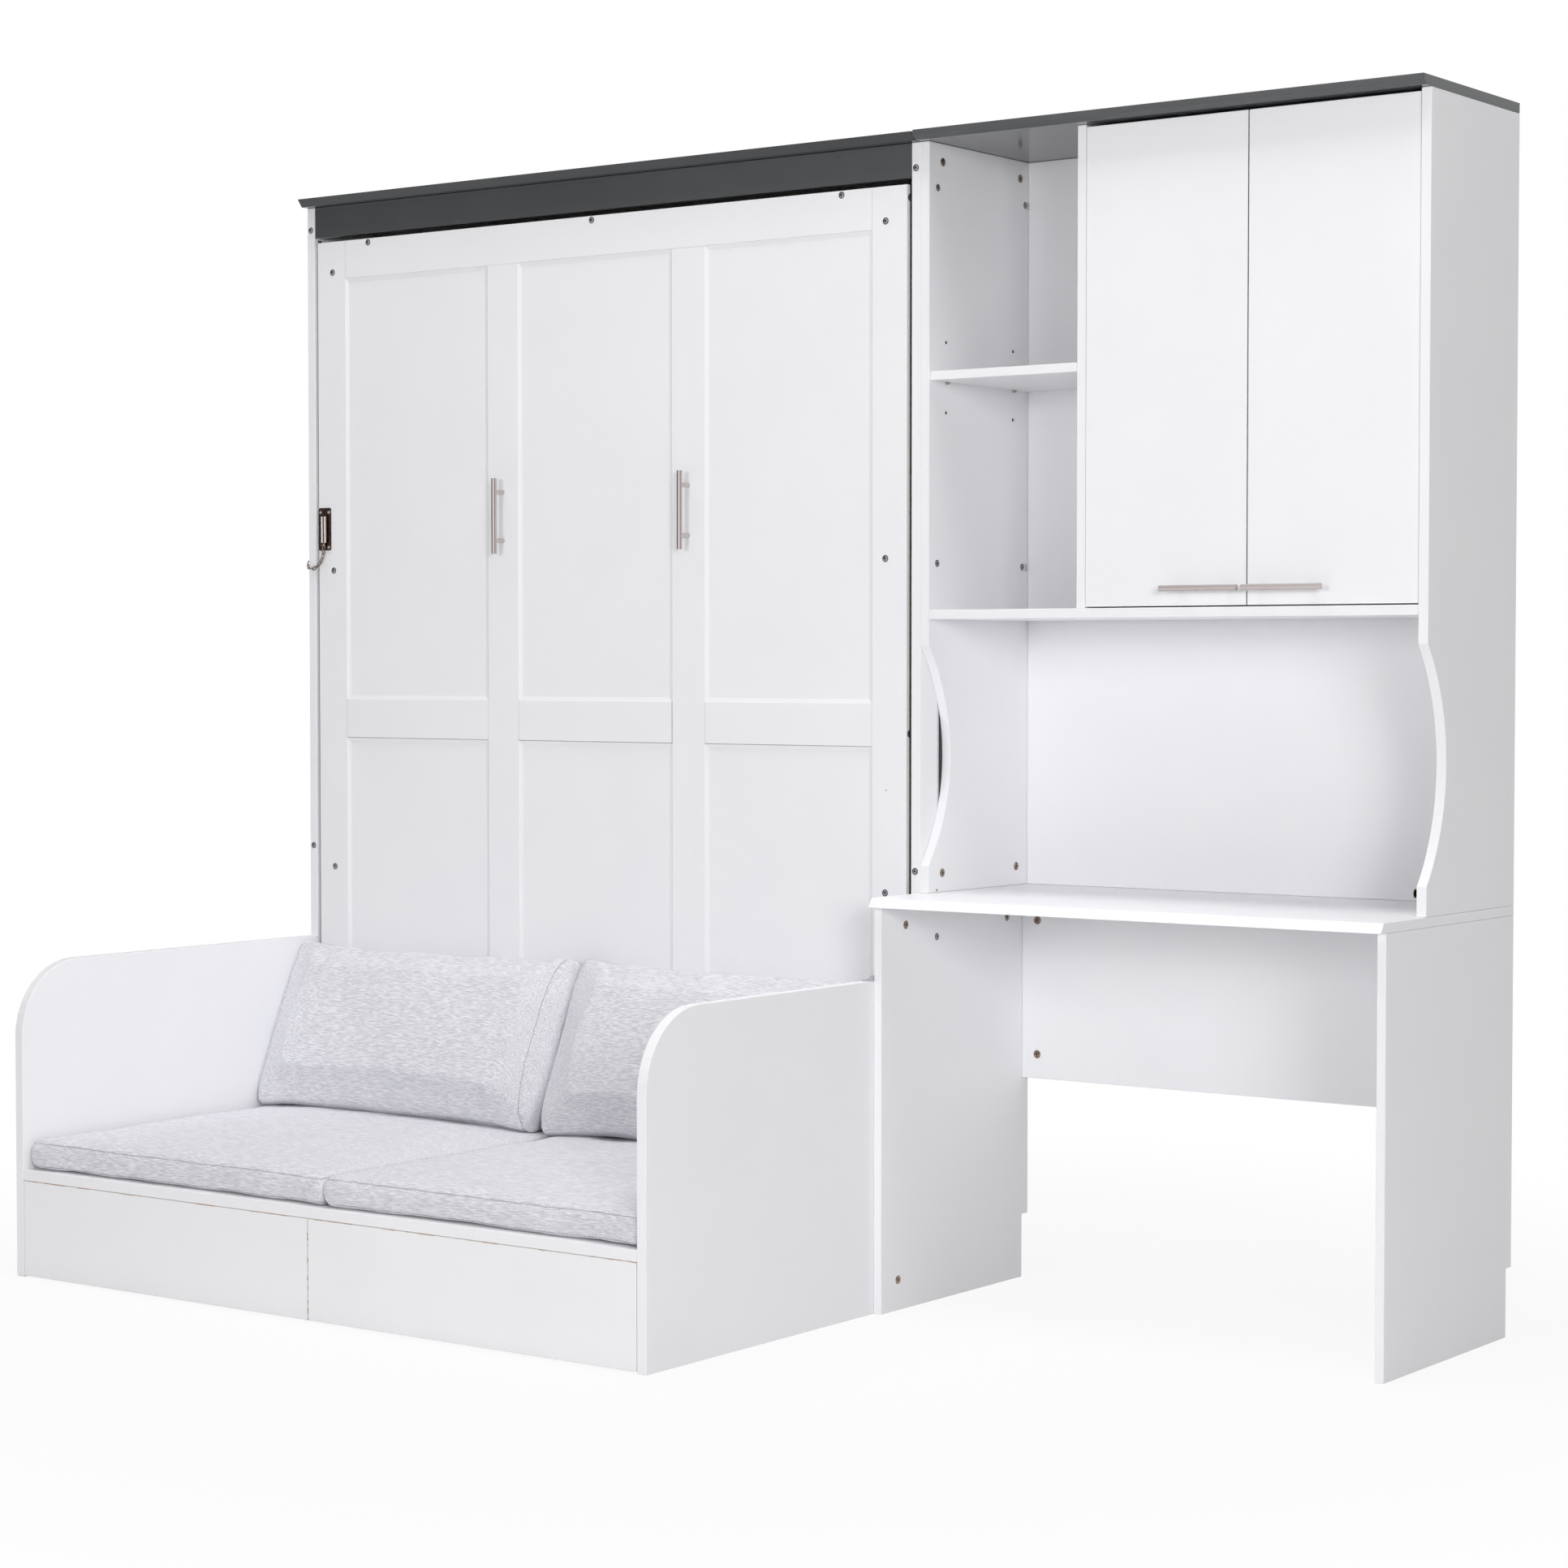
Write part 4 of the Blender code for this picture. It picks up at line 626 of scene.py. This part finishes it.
def panel_seams():
    """Hairlines where the panel's rails meet its stiles, and painted shadow on the recesses' upper and
    right arrises.

    The painted shadow under the middle rail is darker, and one end of that rail has an open joint.
    """
    outer = [panel_low.x + OUTER_STILE, panel_high.x - OUTER_STILE]
    inner = [outer[0] + FIELD, outer[0] + FIELD + INNER_STILE]
    inner += [outer[1] - FIELD - INNER_STILE, outer[1] - FIELD]
    half = SEAM_AND_SHADOW_WIDTH / 2
    front, back = face_y - SEAM_AND_SHADOW_PROUD, face_y + HAIR
    builder = bmesh.new()
    for x in outer:
        for low, high in ((RECESS_TOP, panel_high.z), MID_RAIL, (panel_low.z, LOW_RECESS)):
            add_box(builder, (x - half, front, low), (x + half, back, high))
    for x in inner:
        add_box(builder, (x - half, front, MID_RAIL[0]), (x + half, back, MID_RAIL[1]))
    for left, right in (inner[:2], inner[2:]):
        for z in (RECESS_TOP, LOW_RECESS):
            add_box(builder, (left, front, z - half), (right, back, z + half))
    # Painted shadow along each recess's right arris and the upper recesses' top arris
    for left, right in ((outer[0], inner[0]), (inner[1], inner[2]), (inner[3], outer[1])):
        for low, high in ((LOW_RECESS, MID_RAIL[0]), (MID_RAIL[1], RECESS_TOP)):
            add_box(builder, (right, front, low), (right + SEAM_AND_SHADOW_WIDTH, back, high))
        add_box(builder, (left, front, RECESS_TOP), (right, back, RECESS_TOP + SEAM_AND_SHADOW_WIDTH))
    piece_from("panel_seams", builder, SEAM_AND_SHADE_GREY, "bed")
    # Painted shadow under the middle rail, on the lower recesses' upper arrises
    builder = bmesh.new()
    under = MID_RAIL[0]
    for left, right in ((outer[0], inner[0]), (inner[1], inner[2]), (inner[3], outer[1])):
        add_box(builder, (left, front, under), (right, back, under + JOINT_AND_SHADOW_WIDTH))
    piece_from("painted_rail_shadows", builder, RAIL_SHADE, "bed")
    builder = bmesh.new()
    add_box(
        builder,
        (inner[2] - half, front - HAIR / 2, under),
        (inner[2] + JOINT_AND_SHADOW_WIDTH - half, back, MID_RAIL[1]),
    )
    piece_from("open_joint", builder, JOINT_BROWN, "bed")


def drawer_edges():
    """Tan lines where the foil is chipped along the drawer fronts' upper and meeting edges."""
    for side, meeting in (("left", 1), ("right", -1)):
        low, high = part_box(f"drawer_front_{side}")
        builder = bmesh.new()
        width = 0.9 * MM
        front = low.y - HAIR
        add_box(builder, (low.x, front, high.z - width), (high.x, low.y + width, high.z + 0.3 * MM))
        edge_x = high.x if meeting > 0 else low.x
        ends = sorted((edge_x, edge_x - meeting * width))
        add_box(builder, (ends[0], front, low.z), (ends[1], low.y + width, high.z - width))
        piece_from(f"drawer_edge_{side}", builder, TAN_EDGE, f"drawer_{side}")


def gap_arris_and_painted_shade():
    """Beside the bed panel: a bare arris on the right side darkened as painted shade, and painted shade
    deeper in the gaps.
    """
    low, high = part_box("bed_side_right")
    builder = bmesh.new()
    add_box(
        builder,
        (low.x - HAIR, face_y - HAIR, GAP_FOOT),
        (low.x + 0.9 * MM, face_y + 2.5 * MM, high.z - FASCIA_REACH),
    )
    piece_from("bare_arris_and_painted_shade", builder, SHADOW_EDGE, "cabinet")
    # Painted shade on the panel's right edge face, deep in the gap
    builder = bmesh.new()
    add_box(
        builder,
        (panel_high.x - HAIR, face_y + 9.5 * MM, panel_low.z),
        (panel_high.x + HAIR, face_y + PANEL_BOARD - HAIR, panel_high.z),
    )
    piece_from("panel_edge_painted_shade", builder, PAINTED_GAP_SHADE, "bed")
    # Painted shade on the left side's inner face, deep in the gap
    low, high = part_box("bed_side_left")
    builder = bmesh.new()
    add_box(
        builder,
        (high.x - HAIR, face_y + 11 * MM, GAP_FOOT),
        (high.x + HAIR, face_y + 22 * MM, high.z - FASCIA_REACH),
    )
    piece_from("side_face_painted_shade", builder, PAINTED_GAP_SHADE, "cabinet")


def door_edges():
    """The doors' right edges, painted grey as the shade of the narrow gaps beside them."""
    for side in ("left", "right"):
        low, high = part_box(f"door_{side}")
        builder = bmesh.new()
        add_box(
            builder,
            (high.x - HAIR, low.y + 1.2 * MM, low.z + HAIR),
            (high.x + HAIR, high.y - HAIR, high.z - HAIR),
        )
        piece_from(f"door_edge_{side}", builder, SHADOW_GREY, f"door_{side}")


def side_gap():
    """Painted shadow in the hutch's curved cut, behind the cabinet's side: grey in front, then dark."""
    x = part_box("hutch_side_left")[0].x
    low, high = SIDE_GAP_Z
    start, middle, end = SIDE_GAP_Y
    for name, material, front, back in (
        ("gap_shade", SEAM_AND_SHADE_GREY, start, middle),
        ("gap_painted_dark_shade", PAINTED_HOLE_SHADE, middle, end),
    ):
        builder = bmesh.new()
        add_box(builder, (x - HAIR, front, low), (x + HAIR, back, high))
        piece_from(name, builder, material, "cabinet")


panel_seams()
drawer_edges()
gap_arris_and_painted_shade()
door_edges()
side_gap()


# Chain guard

LINK_LENGTH = 13.0 * MM
LINK_WIDTH = 8.4 * MM
LINK_WIRE = 1.1 * MM
LINK_PITCH = 9.2 * MM
LINK_STEPS = 6
GUARD_SCREW = (
    (3.4 * MM, 0, "round"),
    (2.9 * MM, 1.4 * MM, "round"),
    (1.3 * MM, 1.5 * MM, "cross"),
    (1.1 * MM, 0.8 * MM, "cross"),
)
GUARD_STUD = ((4.6 * MM, 0, "round"), (4.6 * MM, 1.2 * MM, "round"), (3.2 * MM, 2.2 * MM, "round"))
PLATE_THICK = 1.8 * MM
STRIP_RADIUS = 2.9 * MM
# How far the track stays from the plate's lower and upper end
TRACK_FOOT, TRACK_HEAD = 16 * MM, 18 * MM


def link_route(middle, along, roll):
    """The closed centreline of one chain link."""
    ahead = Vector(along).normalized()
    side = ahead.orthogonal().normalized()
    side = Matrix.Rotation(roll, 3, ahead) @ side
    straight = (LINK_LENGTH - LINK_WIDTH) / 2
    radius = LINK_WIDTH / 2 - LINK_WIRE
    points = []
    for end in (1, -1):
        for step in range(LINK_STEPS + 1):
            turn = math.pi * step / LINK_STEPS - math.pi / 2
            out = ahead * (straight + radius * math.cos(turn)) * end
            points.append(middle + out + side * radius * math.sin(turn) * end)
    return points


def chain_guard():
    """The chain's links, from the guard plate over the cabinet's front edge to the anchor."""
    plate_low, plate_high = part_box("guard_plate")
    anchor_low, anchor_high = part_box("guard_anchor")
    middle_x = (plate_low.x + plate_high.x) / 2
    left_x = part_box("bed_side_left")[0].x
    out_x = left_x - 2.6 * MM
    anchor = ((anchor_low.y + anchor_high.y) / 2, (anchor_low.z + anchor_high.z) / 2)
    route = smooth_route(
        [
            (middle_x, face_y - 4.6 * MM, plate_low.z + 6 * MM),
            (middle_x - 4 * MM, face_y - 4.2 * MM, plate_low.z - 14 * MM),
            (middle_x - 16 * MM, face_y - 3.8 * MM, plate_low.z - 30 * MM),
            (left_x + 15 * MM, face_y - 3.4 * MM, plate_low.z - 37 * MM),
            (left_x + 2 * MM, face_y - 3.4 * MM, plate_low.z - 34 * MM),
            (out_x, face_y + 2 * MM, plate_low.z - 26 * MM),
            (out_x, anchor[0] - 2 * MM, anchor[1] - 1 * MM),
        ],
        12,
    )
    links = []
    walked = 0.0
    due = 0.0
    for start, end in zip(route, route[1:]):
        while walked + (end - start).length >= due:
            share = (due - walked) / (end - start).length
            roll = math.radians(45 if len(links) % 2 else -45)
            links.append(link_route(start.lerp(end, share), end - start, roll))
            due += LINK_PITCH
        walked += (end - start).length
    chain = tube_set("guard_chain_links", links, LINK_WIRE, CHAIN_NICKEL, "cabinet", True)
    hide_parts("guard_chain")
    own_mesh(chain)


def guard_details():
    """Screws and the track's two half-round strips in painted highlight, its slot in painted shade, and
    the sliding stud.
    """
    low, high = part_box("guard_plate")
    plate_front = face_y - PLATE_THICK
    screws = [
        facing((x, plate_front, high.z - 9 * MM), FRONT) for x in (low.x + 6.0 * MM, high.x - 5.0 * MM)
    ]
    screws.append(facing((high.x - 5.5 * MM, plate_front, low.z + 6.5 * MM), FRONT))
    turned_set("guard_screws", GUARD_SCREW, screws, NICKEL_PAINTED_HIGHLIGHT, "bed")
    middle = (low.x + high.x) / 2
    foot, head = low.z + TRACK_FOOT, high.z - TRACK_HEAD
    strips = [
        smooth_route([(x, low.y, foot), (x, low.y - 0.6 * MM, head)], 6)
        for x in (middle - 3.6 * MM, middle + 4.6 * MM)
    ]
    tube_set("guard_strips", strips, STRIP_RADIUS, NICKEL_PAINTED_HIGHLIGHT, "bed", sides=12)
    builder = bmesh.new()
    add_box(
        builder,
        (middle - 0.6 * MM, low.y - 1.2 * MM, foot),
        (middle + 1.2 * MM, low.y + HAIR, head),
    )
    piece_from("guard_slot", builder, PAINTED_HOLE_SHADE, "bed")
    place = facing((middle, low.y, low.z + 12 * MM), FRONT)
    turned_set("guard_stud", GUARD_STUD, [place], CHAIN_NICKEL, "bed")


chain_guard()
guard_details()


# Cushions

BACK_LEAN = math.radians(24)
# How each kind stands, how far its cover may swell, how wide its firm rim is, how much thinner it
# starts, and how full its ends and corners are
SEAT = {
    "turn": Matrix.Identity(3),
    "cap": 3 * MM,
    "rim": 60 * MM,
    "shrink": (1.0, 1.0, 1.0),
    "belly": 8 * MM,
    "ear": 6 * MM,
}
BACK = {
    "turn": Matrix.Rotation(math.pi / 2 - BACK_LEAN, 3, "X"),
    "cap": 20 * MM,
    "rim": 90 * MM,
    "shrink": (1.0, 1.0, 0.94),
    "belly": 26 * MM,
    "ear": 9 * MM,
}
CLEARANCE = 0.4 * MM
VOXEL = 5.5 * MM
SETTLE_FRAMES = 20
SEAM_BAND = 54 * MM
SEAM_REACH = 5 * MM
SEAM_DEPTH = 1.9 * MM
END_SEAM = 36 * MM
PUCKER = 46 * MM
DENT_SIZE = 95 * MM
DENT_DEPTH = 3.4 * MM
THREAD_RADIUS = 0.8 * MM
# How much the seams' depth varies, and how far a cover may move at its very rim
PUCKER_SHARE = 0.9
RIM_LOOSENESS = 0.12
SINK = 9 * MM
SINK_BAND = 40 * MM
# How far forward and how high the back cushions may reach
BACK_REACH_Y, BACK_REACH_Z = -0.2, 0.75


class Cushion:
    """One cushion: its node, the space that it may fill, and the form of its kind."""

    def __init__(self, node, low, high, turn, cap, rim, shrink, belly, ear):
        self.node = node
        self.turn = turn
        self.cap = cap
        self.rim = rim
        self.shrink = shrink
        self.belly = belly
        self.ear = ear
        self.low = Vector(low)
        self.high = Vector(high)
        box_low, box_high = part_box(node)
        self.middle = (box_low + box_high) / 2
        spots = [self.local(vertex.co) for vertex in nodes[node].data.vertices]
        self.half = Vector(max(abs(spot[axis]) for spot in spots) for axis in range(3))

    def local(self, place):
        return self.turn.inverted() @ (place - self.middle)

    def world(self, place):
        return self.middle + self.turn @ place

    def filled(self, spot):
        """Pushes the two ends out, so that neighbours press on each other, and draws out the corners."""
        along, up = (min(abs(part) / half, 1.0) for part, half in zip(spot.xy, self.half.xy))
        full = Vector(part * share for part, share in zip(spot, self.shrink))
        full.x += math.copysign(self.belly * along**6 * (1 - up**6), spot.x)
        corner = self.ear * (along * up) ** 12
        full.x += math.copysign(corner, spot.x)
        full.y += math.copysign(corner, spot.y)
        return full

    def looseness(self, place):
        """How far the cover may move here: all the way in the middle of a face, little at the rim."""
        spot = self.local(place)
        inside = min(self.half.x - abs(spot.x), self.half.y - abs(spot.y))
        return min(1.0, RIM_LOOSENESS + max(inside, 0) / self.rim)


def evaluated_copy(piece):
    graph = bpy.context.evaluated_depsgraph_get()
    return bpy.data.meshes.new_from_object(piece.evaluated_get(graph))


def start_form(cushion):
    """The cushion's node, drawn a little thinner and meshed evenly."""
    mesh = nodes[cushion.node].data.copy()
    for vertex in mesh.vertices:
        vertex.co = cushion.world(cushion.filled(cushion.local(vertex.co)))
    piece = bpy.data.objects.new(f"{cushion.node}_cover", mesh)
    scene.collection.objects.link(piece)
    even = piece.modifiers.new("even", "REMESH")
    even.mode = "VOXEL"
    even.voxel_size = VOXEL
    bpy.context.view_layer.update()
    piece.data = evaluated_copy(piece)
    piece.modifiers.clear()
    return piece


def stuff(pieces, cushions):
    """Blows all the covers up together, as fillings do, and caps how far each point moves."""
    for piece in pieces:
        cloth = piece.modifiers.new("stuffing", "CLOTH")
        cloth.settings.quality = 5
        cloth.settings.mass = 0.3
        cloth.settings.tension_stiffness = 14
        cloth.settings.compression_stiffness = 14
        cloth.settings.shear_stiffness = 5
        cloth.settings.bending_stiffness = 0.4
        cloth.settings.use_pressure = True
        cloth.settings.uniform_pressure_force = 4.0
        cloth.settings.effector_weights.gravity = 0.0
        cloth.collision_settings.use_collision = False
        cloth.collision_settings.use_self_collision = False
    for number in range(1, SETTLE_FRAMES + 1):
        scene.frame_set(number)
    for piece, cushion in zip(pieces, cushions):
        swollen = evaluated_copy(piece)
        piece.modifiers.clear()
        for vertex, moved in zip(piece.data.vertices, swollen.vertices):
            way = (moved.co - vertex.co) * cushion.looseness(vertex.co)
            if way.length > cushion.cap:
                way *= cushion.cap / way.length
            vertex.co += way
        bpy.data.meshes.remove(swollen)
    scene.frame_set(1)


def press_down(piece, cushion, seats):
    """Lets a back cushion's foot sink until it meets the seat cushions, and lies flat on them."""
    graph = bpy.context.evaluated_depsgraph_get()
    trees = [BVHTree.FromObject(seat, graph) for seat in seats]
    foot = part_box(cushion.node)[0].z
    for vertex in piece.data.vertices:
        rise = vertex.co.z - foot
        if rise > SINK_BAND:
            continue
        level = vertex.co.z - SINK * (1 - max(rise, 0) / SINK_BAND)
        above = Vector((vertex.co.x, vertex.co.y, foot + 50 * MM))
        hits = [tree.ray_cast(above, Vector((0, 0, -1)))[0] for tree in trees]
        tops = [hit.z + CLEARANCE for hit in hits if hit]
        vertex.co.z = max([level, cushion.low.z, *tops])


def settle(piece, cushion, seats):
    """Smooths the cover, holds it clear of what it rests on, and rounds its facets."""
    smooth = piece.modifiers.new("smooth", "SMOOTH")
    smooth.factor = 0.5
    smooth.iterations = 1
    fine = piece.modifiers.new("fine", "SUBSURF")
    fine.levels = 1
    fine.render_levels = 1
    bpy.context.view_layer.update()
    piece.data = evaluated_copy(piece)
    piece.modifiers.clear()
    normals = [vertex.normal.copy() for vertex in piece.data.vertices]
    for vertex, normal in zip(piece.data.vertices, normals):
        dented = vertex.co - normal * DENT_DEPTH * (0.5 + noise.noise(vertex.co / DENT_SIZE))
        vertex.co = Vector(
            min(max(part, low), high) for part, low, high in zip(dented, cushion.low, cushion.high)
        )
    if seats:
        press_down(piece, cushion, seats)
    piece.data.materials.clear()
    piece.data.materials.append(FINISHES["fabric"])
    piece.data.shade_smooth()
    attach(piece, cushion.node)
    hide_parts(cushion.node)


def seam_outline(half_width, half_height, corner, steps=6, sides=90):
    """A closed rounded rectangle of points, evenly enough spaced to follow a cover."""
    points = []
    spots = ((1, 1, 0), (-1, 1, 90), (-1, -1, 180), (1, -1, 270))
    for index, (way_x, way_y, start) in enumerate(spots):
        spot = Vector((way_x * (half_width - corner), way_y * (half_height - corner)))
        for step in range(steps + 1):
            turn = math.radians(start + 90 * step / steps)
            points.append(spot + corner * Vector((math.cos(turn), math.sin(turn))))
        after = spots[(index + 1) % 4]
        target = Vector((after[0] * (half_width - corner), after[1] * (half_height - corner)))
        begin = points[-1].copy()
        end = begin + target - spot
        points += [begin.lerp(end, step / sides) for step in range(1, sides)]
    return points


def on_cover(piece, spots):
    tree = BVHTree.FromObject(piece, bpy.context.evaluated_depsgraph_get())
    return [tree.find_nearest(spot)[0] for spot in spots]


def band_seams(cushion):
    """A seat cushion's two seams, round the edges of its side band."""
    points = seam_outline(cushion.half.x + cushion.belly / 2, cushion.half.y, 12 * MM)
    levels = (SEAM_BAND - cushion.half.z, 2 * MM - cushion.half.z)
    return [[cushion.world(Vector((*point, level))) for point in points] for level in levels]


def end_seams(cushion):
    """A back cushion's two seams, round its end caps; the cover has slipped a little to the left."""
    points = seam_outline(cushion.half.y, cushion.half.z, 15 * MM, sides=50)
    full = cushion.half.x + cushion.belly
    ends = (full - END_SEAM, -full + 4 * MM)
    return [[cushion.world(Vector((end, *point))) for point in points] for end in ends]


def sew(piece, seams):
    """Draws the cover in along its seams, unevenly, and lays the thread in the groove."""
    routes = [on_cover(piece, seam) for seam in seams]
    seam = KDTree(sum(len(route) for route in routes))
    for index, spot in enumerate(spot for route in routes for spot in route):
        seam.insert(spot, index)
    seam.balance()
    normals = [vertex.normal.copy() for vertex in piece.data.vertices]
    for vertex, normal in zip(piece.data.vertices, normals):
        distance = seam.find(vertex.co)[2]
        if distance < 3 * SEAM_REACH:
            depth = SEAM_DEPTH * (1 + PUCKER_SHARE * noise.noise(vertex.co / PUCKER))
            vertex.co -= normal * depth * math.exp(-((distance / SEAM_REACH) ** 2))
    routes = [on_cover(piece, route) for route in routes]
    body = piece.name.removesuffix("_cover")
    tube_set(f"{body}_seams", routes, THREAD_RADIUS, SEAM_THREAD, body, True, 6)


def make_cushions():
    """The four covers, blown up together and then sewn; the back ones come to rest on the seats."""
    side_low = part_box("sofa_arm_left")[1].x + CLEARANCE
    side_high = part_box("sofa_arm_right")[0].x - CLEARANCE
    seat_low, seat_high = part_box("seat_cushion_left")
    board_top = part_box("seat_board")[1].z + CLEARANCE
    seat_space = ((seat_low.y - 2 * MM, board_top), (seat_high.y + 4 * MM, seat_high.z - 0.2 * MM))
    back_space = ((BACK_REACH_Y, seat_high.z - 14 * MM), (face_y - CLEARANCE, BACK_REACH_Z))
    cushions = []
    for kind, form, (low, high) in (("seat", SEAT, seat_space), ("back", BACK, back_space)):
        left, right = f"{kind}_cushion_left", f"{kind}_cushion_right"
        meeting = (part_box(left)[1].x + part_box(right)[0].x) / 2
        cushions.append(Cushion(left, (side_low, *low), (meeting - CLEARANCE, *high), **form))
        cushions.append(Cushion(right, (meeting + CLEARANCE, *low), (side_high, *high), **form))
    covers = [start_form(cushion) for cushion in cushions]
    stuff(covers, cushions)
    seats = covers[:2]
    for cover, cushion in zip(covers, cushions):
        lies = cover in seats
        settle(cover, cushion, [] if lies else seats)
        sew(cover, band_seams(cushion) if lies else end_seams(cushion))


make_cushions()


# Floor, light and camera

# The floor keeps its shadow up to the near distance and is plain white from the far one on
FLOOR_NEAR = 1.3
FLOOR_FAR = 2.6
FLOOR_RADIUS = 40
FLOOR_DROP = 0.3 * MM
PLAIN_SHARE = 0.90
SOFT_STRENGTH = 0.23
# Places and colours of what metal mirrors
MIRRORED_STUDIO = (
    (0.17, (0.03, 0.025, 0.03, 1)),
    (0.28, (1, 1, 1, 1)),
    (0.86, (1, 1, 1, 1)),
    (0.93, (0.3, 0.3, 0.3, 1)),
)
# Each lamp's name, place, aim, size and watts
LAMPS = (
    ("front", (0.7, -6.0, 1.8), (0.0, 0.2, 1.1), (0.6, 1.2), 75),
    ("side", (4.4, -4.0, 2.0), (0.2, 0.2, 0.9), (1.2, 1.2), 27),
    ("side_far", (6.5, -5.5, 2.2), (0.2, 0.2, 0.9), (2.0, 2.0), 158),
    ("top", (0.0, -0.4, 5.0), (0.0, -0.1, 0.5), (5.0, 1.6), 130),
    ("rear", (-5.5, 5.0, 2.6), (0.0, 0.2, 1.0), (3.0, 3.0), 150),
)


def seen_directly(tree):
    """One for rays from the camera and for mirrored ones, nought for the rest."""
    path = add_node(tree, "ShaderNodeLightPath")
    links = {0: path.outputs["Is Camera Ray"], 1: path.outputs["Is Glossy Ray"]}
    seen = add_node(tree, "ShaderNodeMath", links=links, operation="MAXIMUM")
    links = {0: seen.outputs["Value"], 1: path.outputs["Is Transmission Ray"]}
    return add_node(tree, "ShaderNodeMath", links=links, operation="MAXIMUM").outputs["Value"]


def make_floor():
    """A pale matt floor that keeps the object's shadow and turns to plain white further out."""
    builder = bmesh.new()
    bmesh.ops.create_circle(builder, cap_ends=True, segments=96, radius=FLOOR_RADIUS)
    mesh = bpy.data.meshes.new("floor")
    builder.to_mesh(mesh)
    builder.free()
    floor = bpy.data.objects.new("floor", mesh)
    floor.location = (0, 0, -FLOOR_DROP)
    scene.collection.objects.link(floor)
    made = bpy.data.materials.new("pale_floor")
    made.use_nodes = True
    tree = made.node_tree
    tree.nodes.clear()
    matt = add_node(tree, "ShaderNodeBsdfDiffuse", {"Color": linear("#E6E6E6")})
    bright = add_node(tree, "ShaderNodeEmission", {"Color": (1, 1, 1, 1), "Strength": 1.0})
    place = add_node(tree, "ShaderNodeTexCoord")
    length = add_node(
        tree, "ShaderNodeVectorMath", links={0: place.outputs["Object"]}, operation="LENGTH"
    )
    values = {"From Min": FLOOR_NEAR, "From Max": FLOOR_FAR, "To Min": PLAIN_SHARE, "To Max": 1.0}
    fade = add_node(
        tree,
        "ShaderNodeMapRange",
        values,
        {"Value": length.outputs["Value"]},
        interpolation_type="SMOOTHSTEP",
    )
    links = {0: seen_directly(tree), 1: fade.outputs["Result"]}
    share = add_node(tree, "ShaderNodeMath", links=links, operation="MULTIPLY")
    links = {0: share.outputs["Value"], 1: matt.outputs["BSDF"], 2: bright.outputs["Emission"]}
    surface = add_node(tree, "ShaderNodeMixShader", links=links)
    add_node(tree, "ShaderNodeOutputMaterial", links={"Surface": surface.outputs["Shader"]})
    floor.data.materials.append(made)


def make_world():
    """White for the camera and soft for the rest; metal mirrors MIRRORED_STUDIO, left to right."""
    world = bpy.data.worlds.new("studio")
    scene.world = world
    world.use_nodes = True
    tree = world.node_tree
    tree.nodes.clear()
    path = add_node(tree, "ShaderNodeLightPath")
    place = add_node(tree, "ShaderNodeTexCoord")
    split = add_node(tree, "ShaderNodeSeparateXYZ", links={"Vector": place.outputs["Generated"]})
    ramp = add_node(
        tree, "ShaderNodeValToRGB", links={"Fac": remap(tree, split.outputs["X"], 0, 1, -1, 1)}
    )
    stops = ramp.color_ramp.elements
    stops.remove(stops[1])
    stops[0].position, stops[0].color = MIRRORED_STUDIO[0]
    for position, colour in MIRRORED_STUDIO[1:]:
        stops.new(position).color = colour
    values = {"Color": (1, 1, 1, 1), "Strength": SOFT_STRENGTH}
    soft = add_node(tree, "ShaderNodeBackground", values)
    white = add_node(tree, "ShaderNodeBackground", {"Color": (1, 1, 1, 1), "Strength": 1.0})
    mirrored = add_node(
        tree, "ShaderNodeBackground", {"Strength": 1.0}, {"Color": ramp.outputs["Color"]}
    )
    surface = soft.outputs["Background"]
    for kind, shown in (
        ("Is Glossy Ray", mirrored),
        ("Is Transmission Ray", white),
        ("Is Camera Ray", white),
    ):
        links = {0: path.outputs[kind], 1: surface, 2: shown.outputs["Background"]}
        surface = add_node(tree, "ShaderNodeMixShader", links=links).outputs["Shader"]
    add_node(tree, "ShaderNodeOutputWorld", links={"Surface": surface})


def add_light(name, place, aim, size, power):
    data = bpy.data.lights.new(name, "AREA")
    data.shape = "RECTANGLE"
    data.size, data.size_y = size
    data.energy = power
    lamp = bpy.data.objects.new(name, data)
    lamp.location = place
    lamp.rotation_euler = (Vector(aim) - Vector(place)).to_track_quat("-Z", "Y").to_euler()
    lamp.visible_glossy = False
    scene.collection.objects.link(lamp)
    return lamp


def make_camera():
    data = bpy.data.cameras.new("camera")
    data.lens = CAMERA_LENS
    data.sensor_width = SENSOR
    data.sensor_fit = "HORIZONTAL"
    data.clip_end = 100
    camera = bpy.data.objects.new("camera", data)
    camera.location = CAMERA_PLACE
    camera.rotation_euler = (CAMERA_TILT, 0, CAMERA_TURN)
    scene.collection.objects.link(camera)
    scene.camera = camera


make_floor()
make_world()
for lamp in LAMPS:
    add_light(*lamp)
make_camera()
scene.view_settings.view_transform = "Standard"
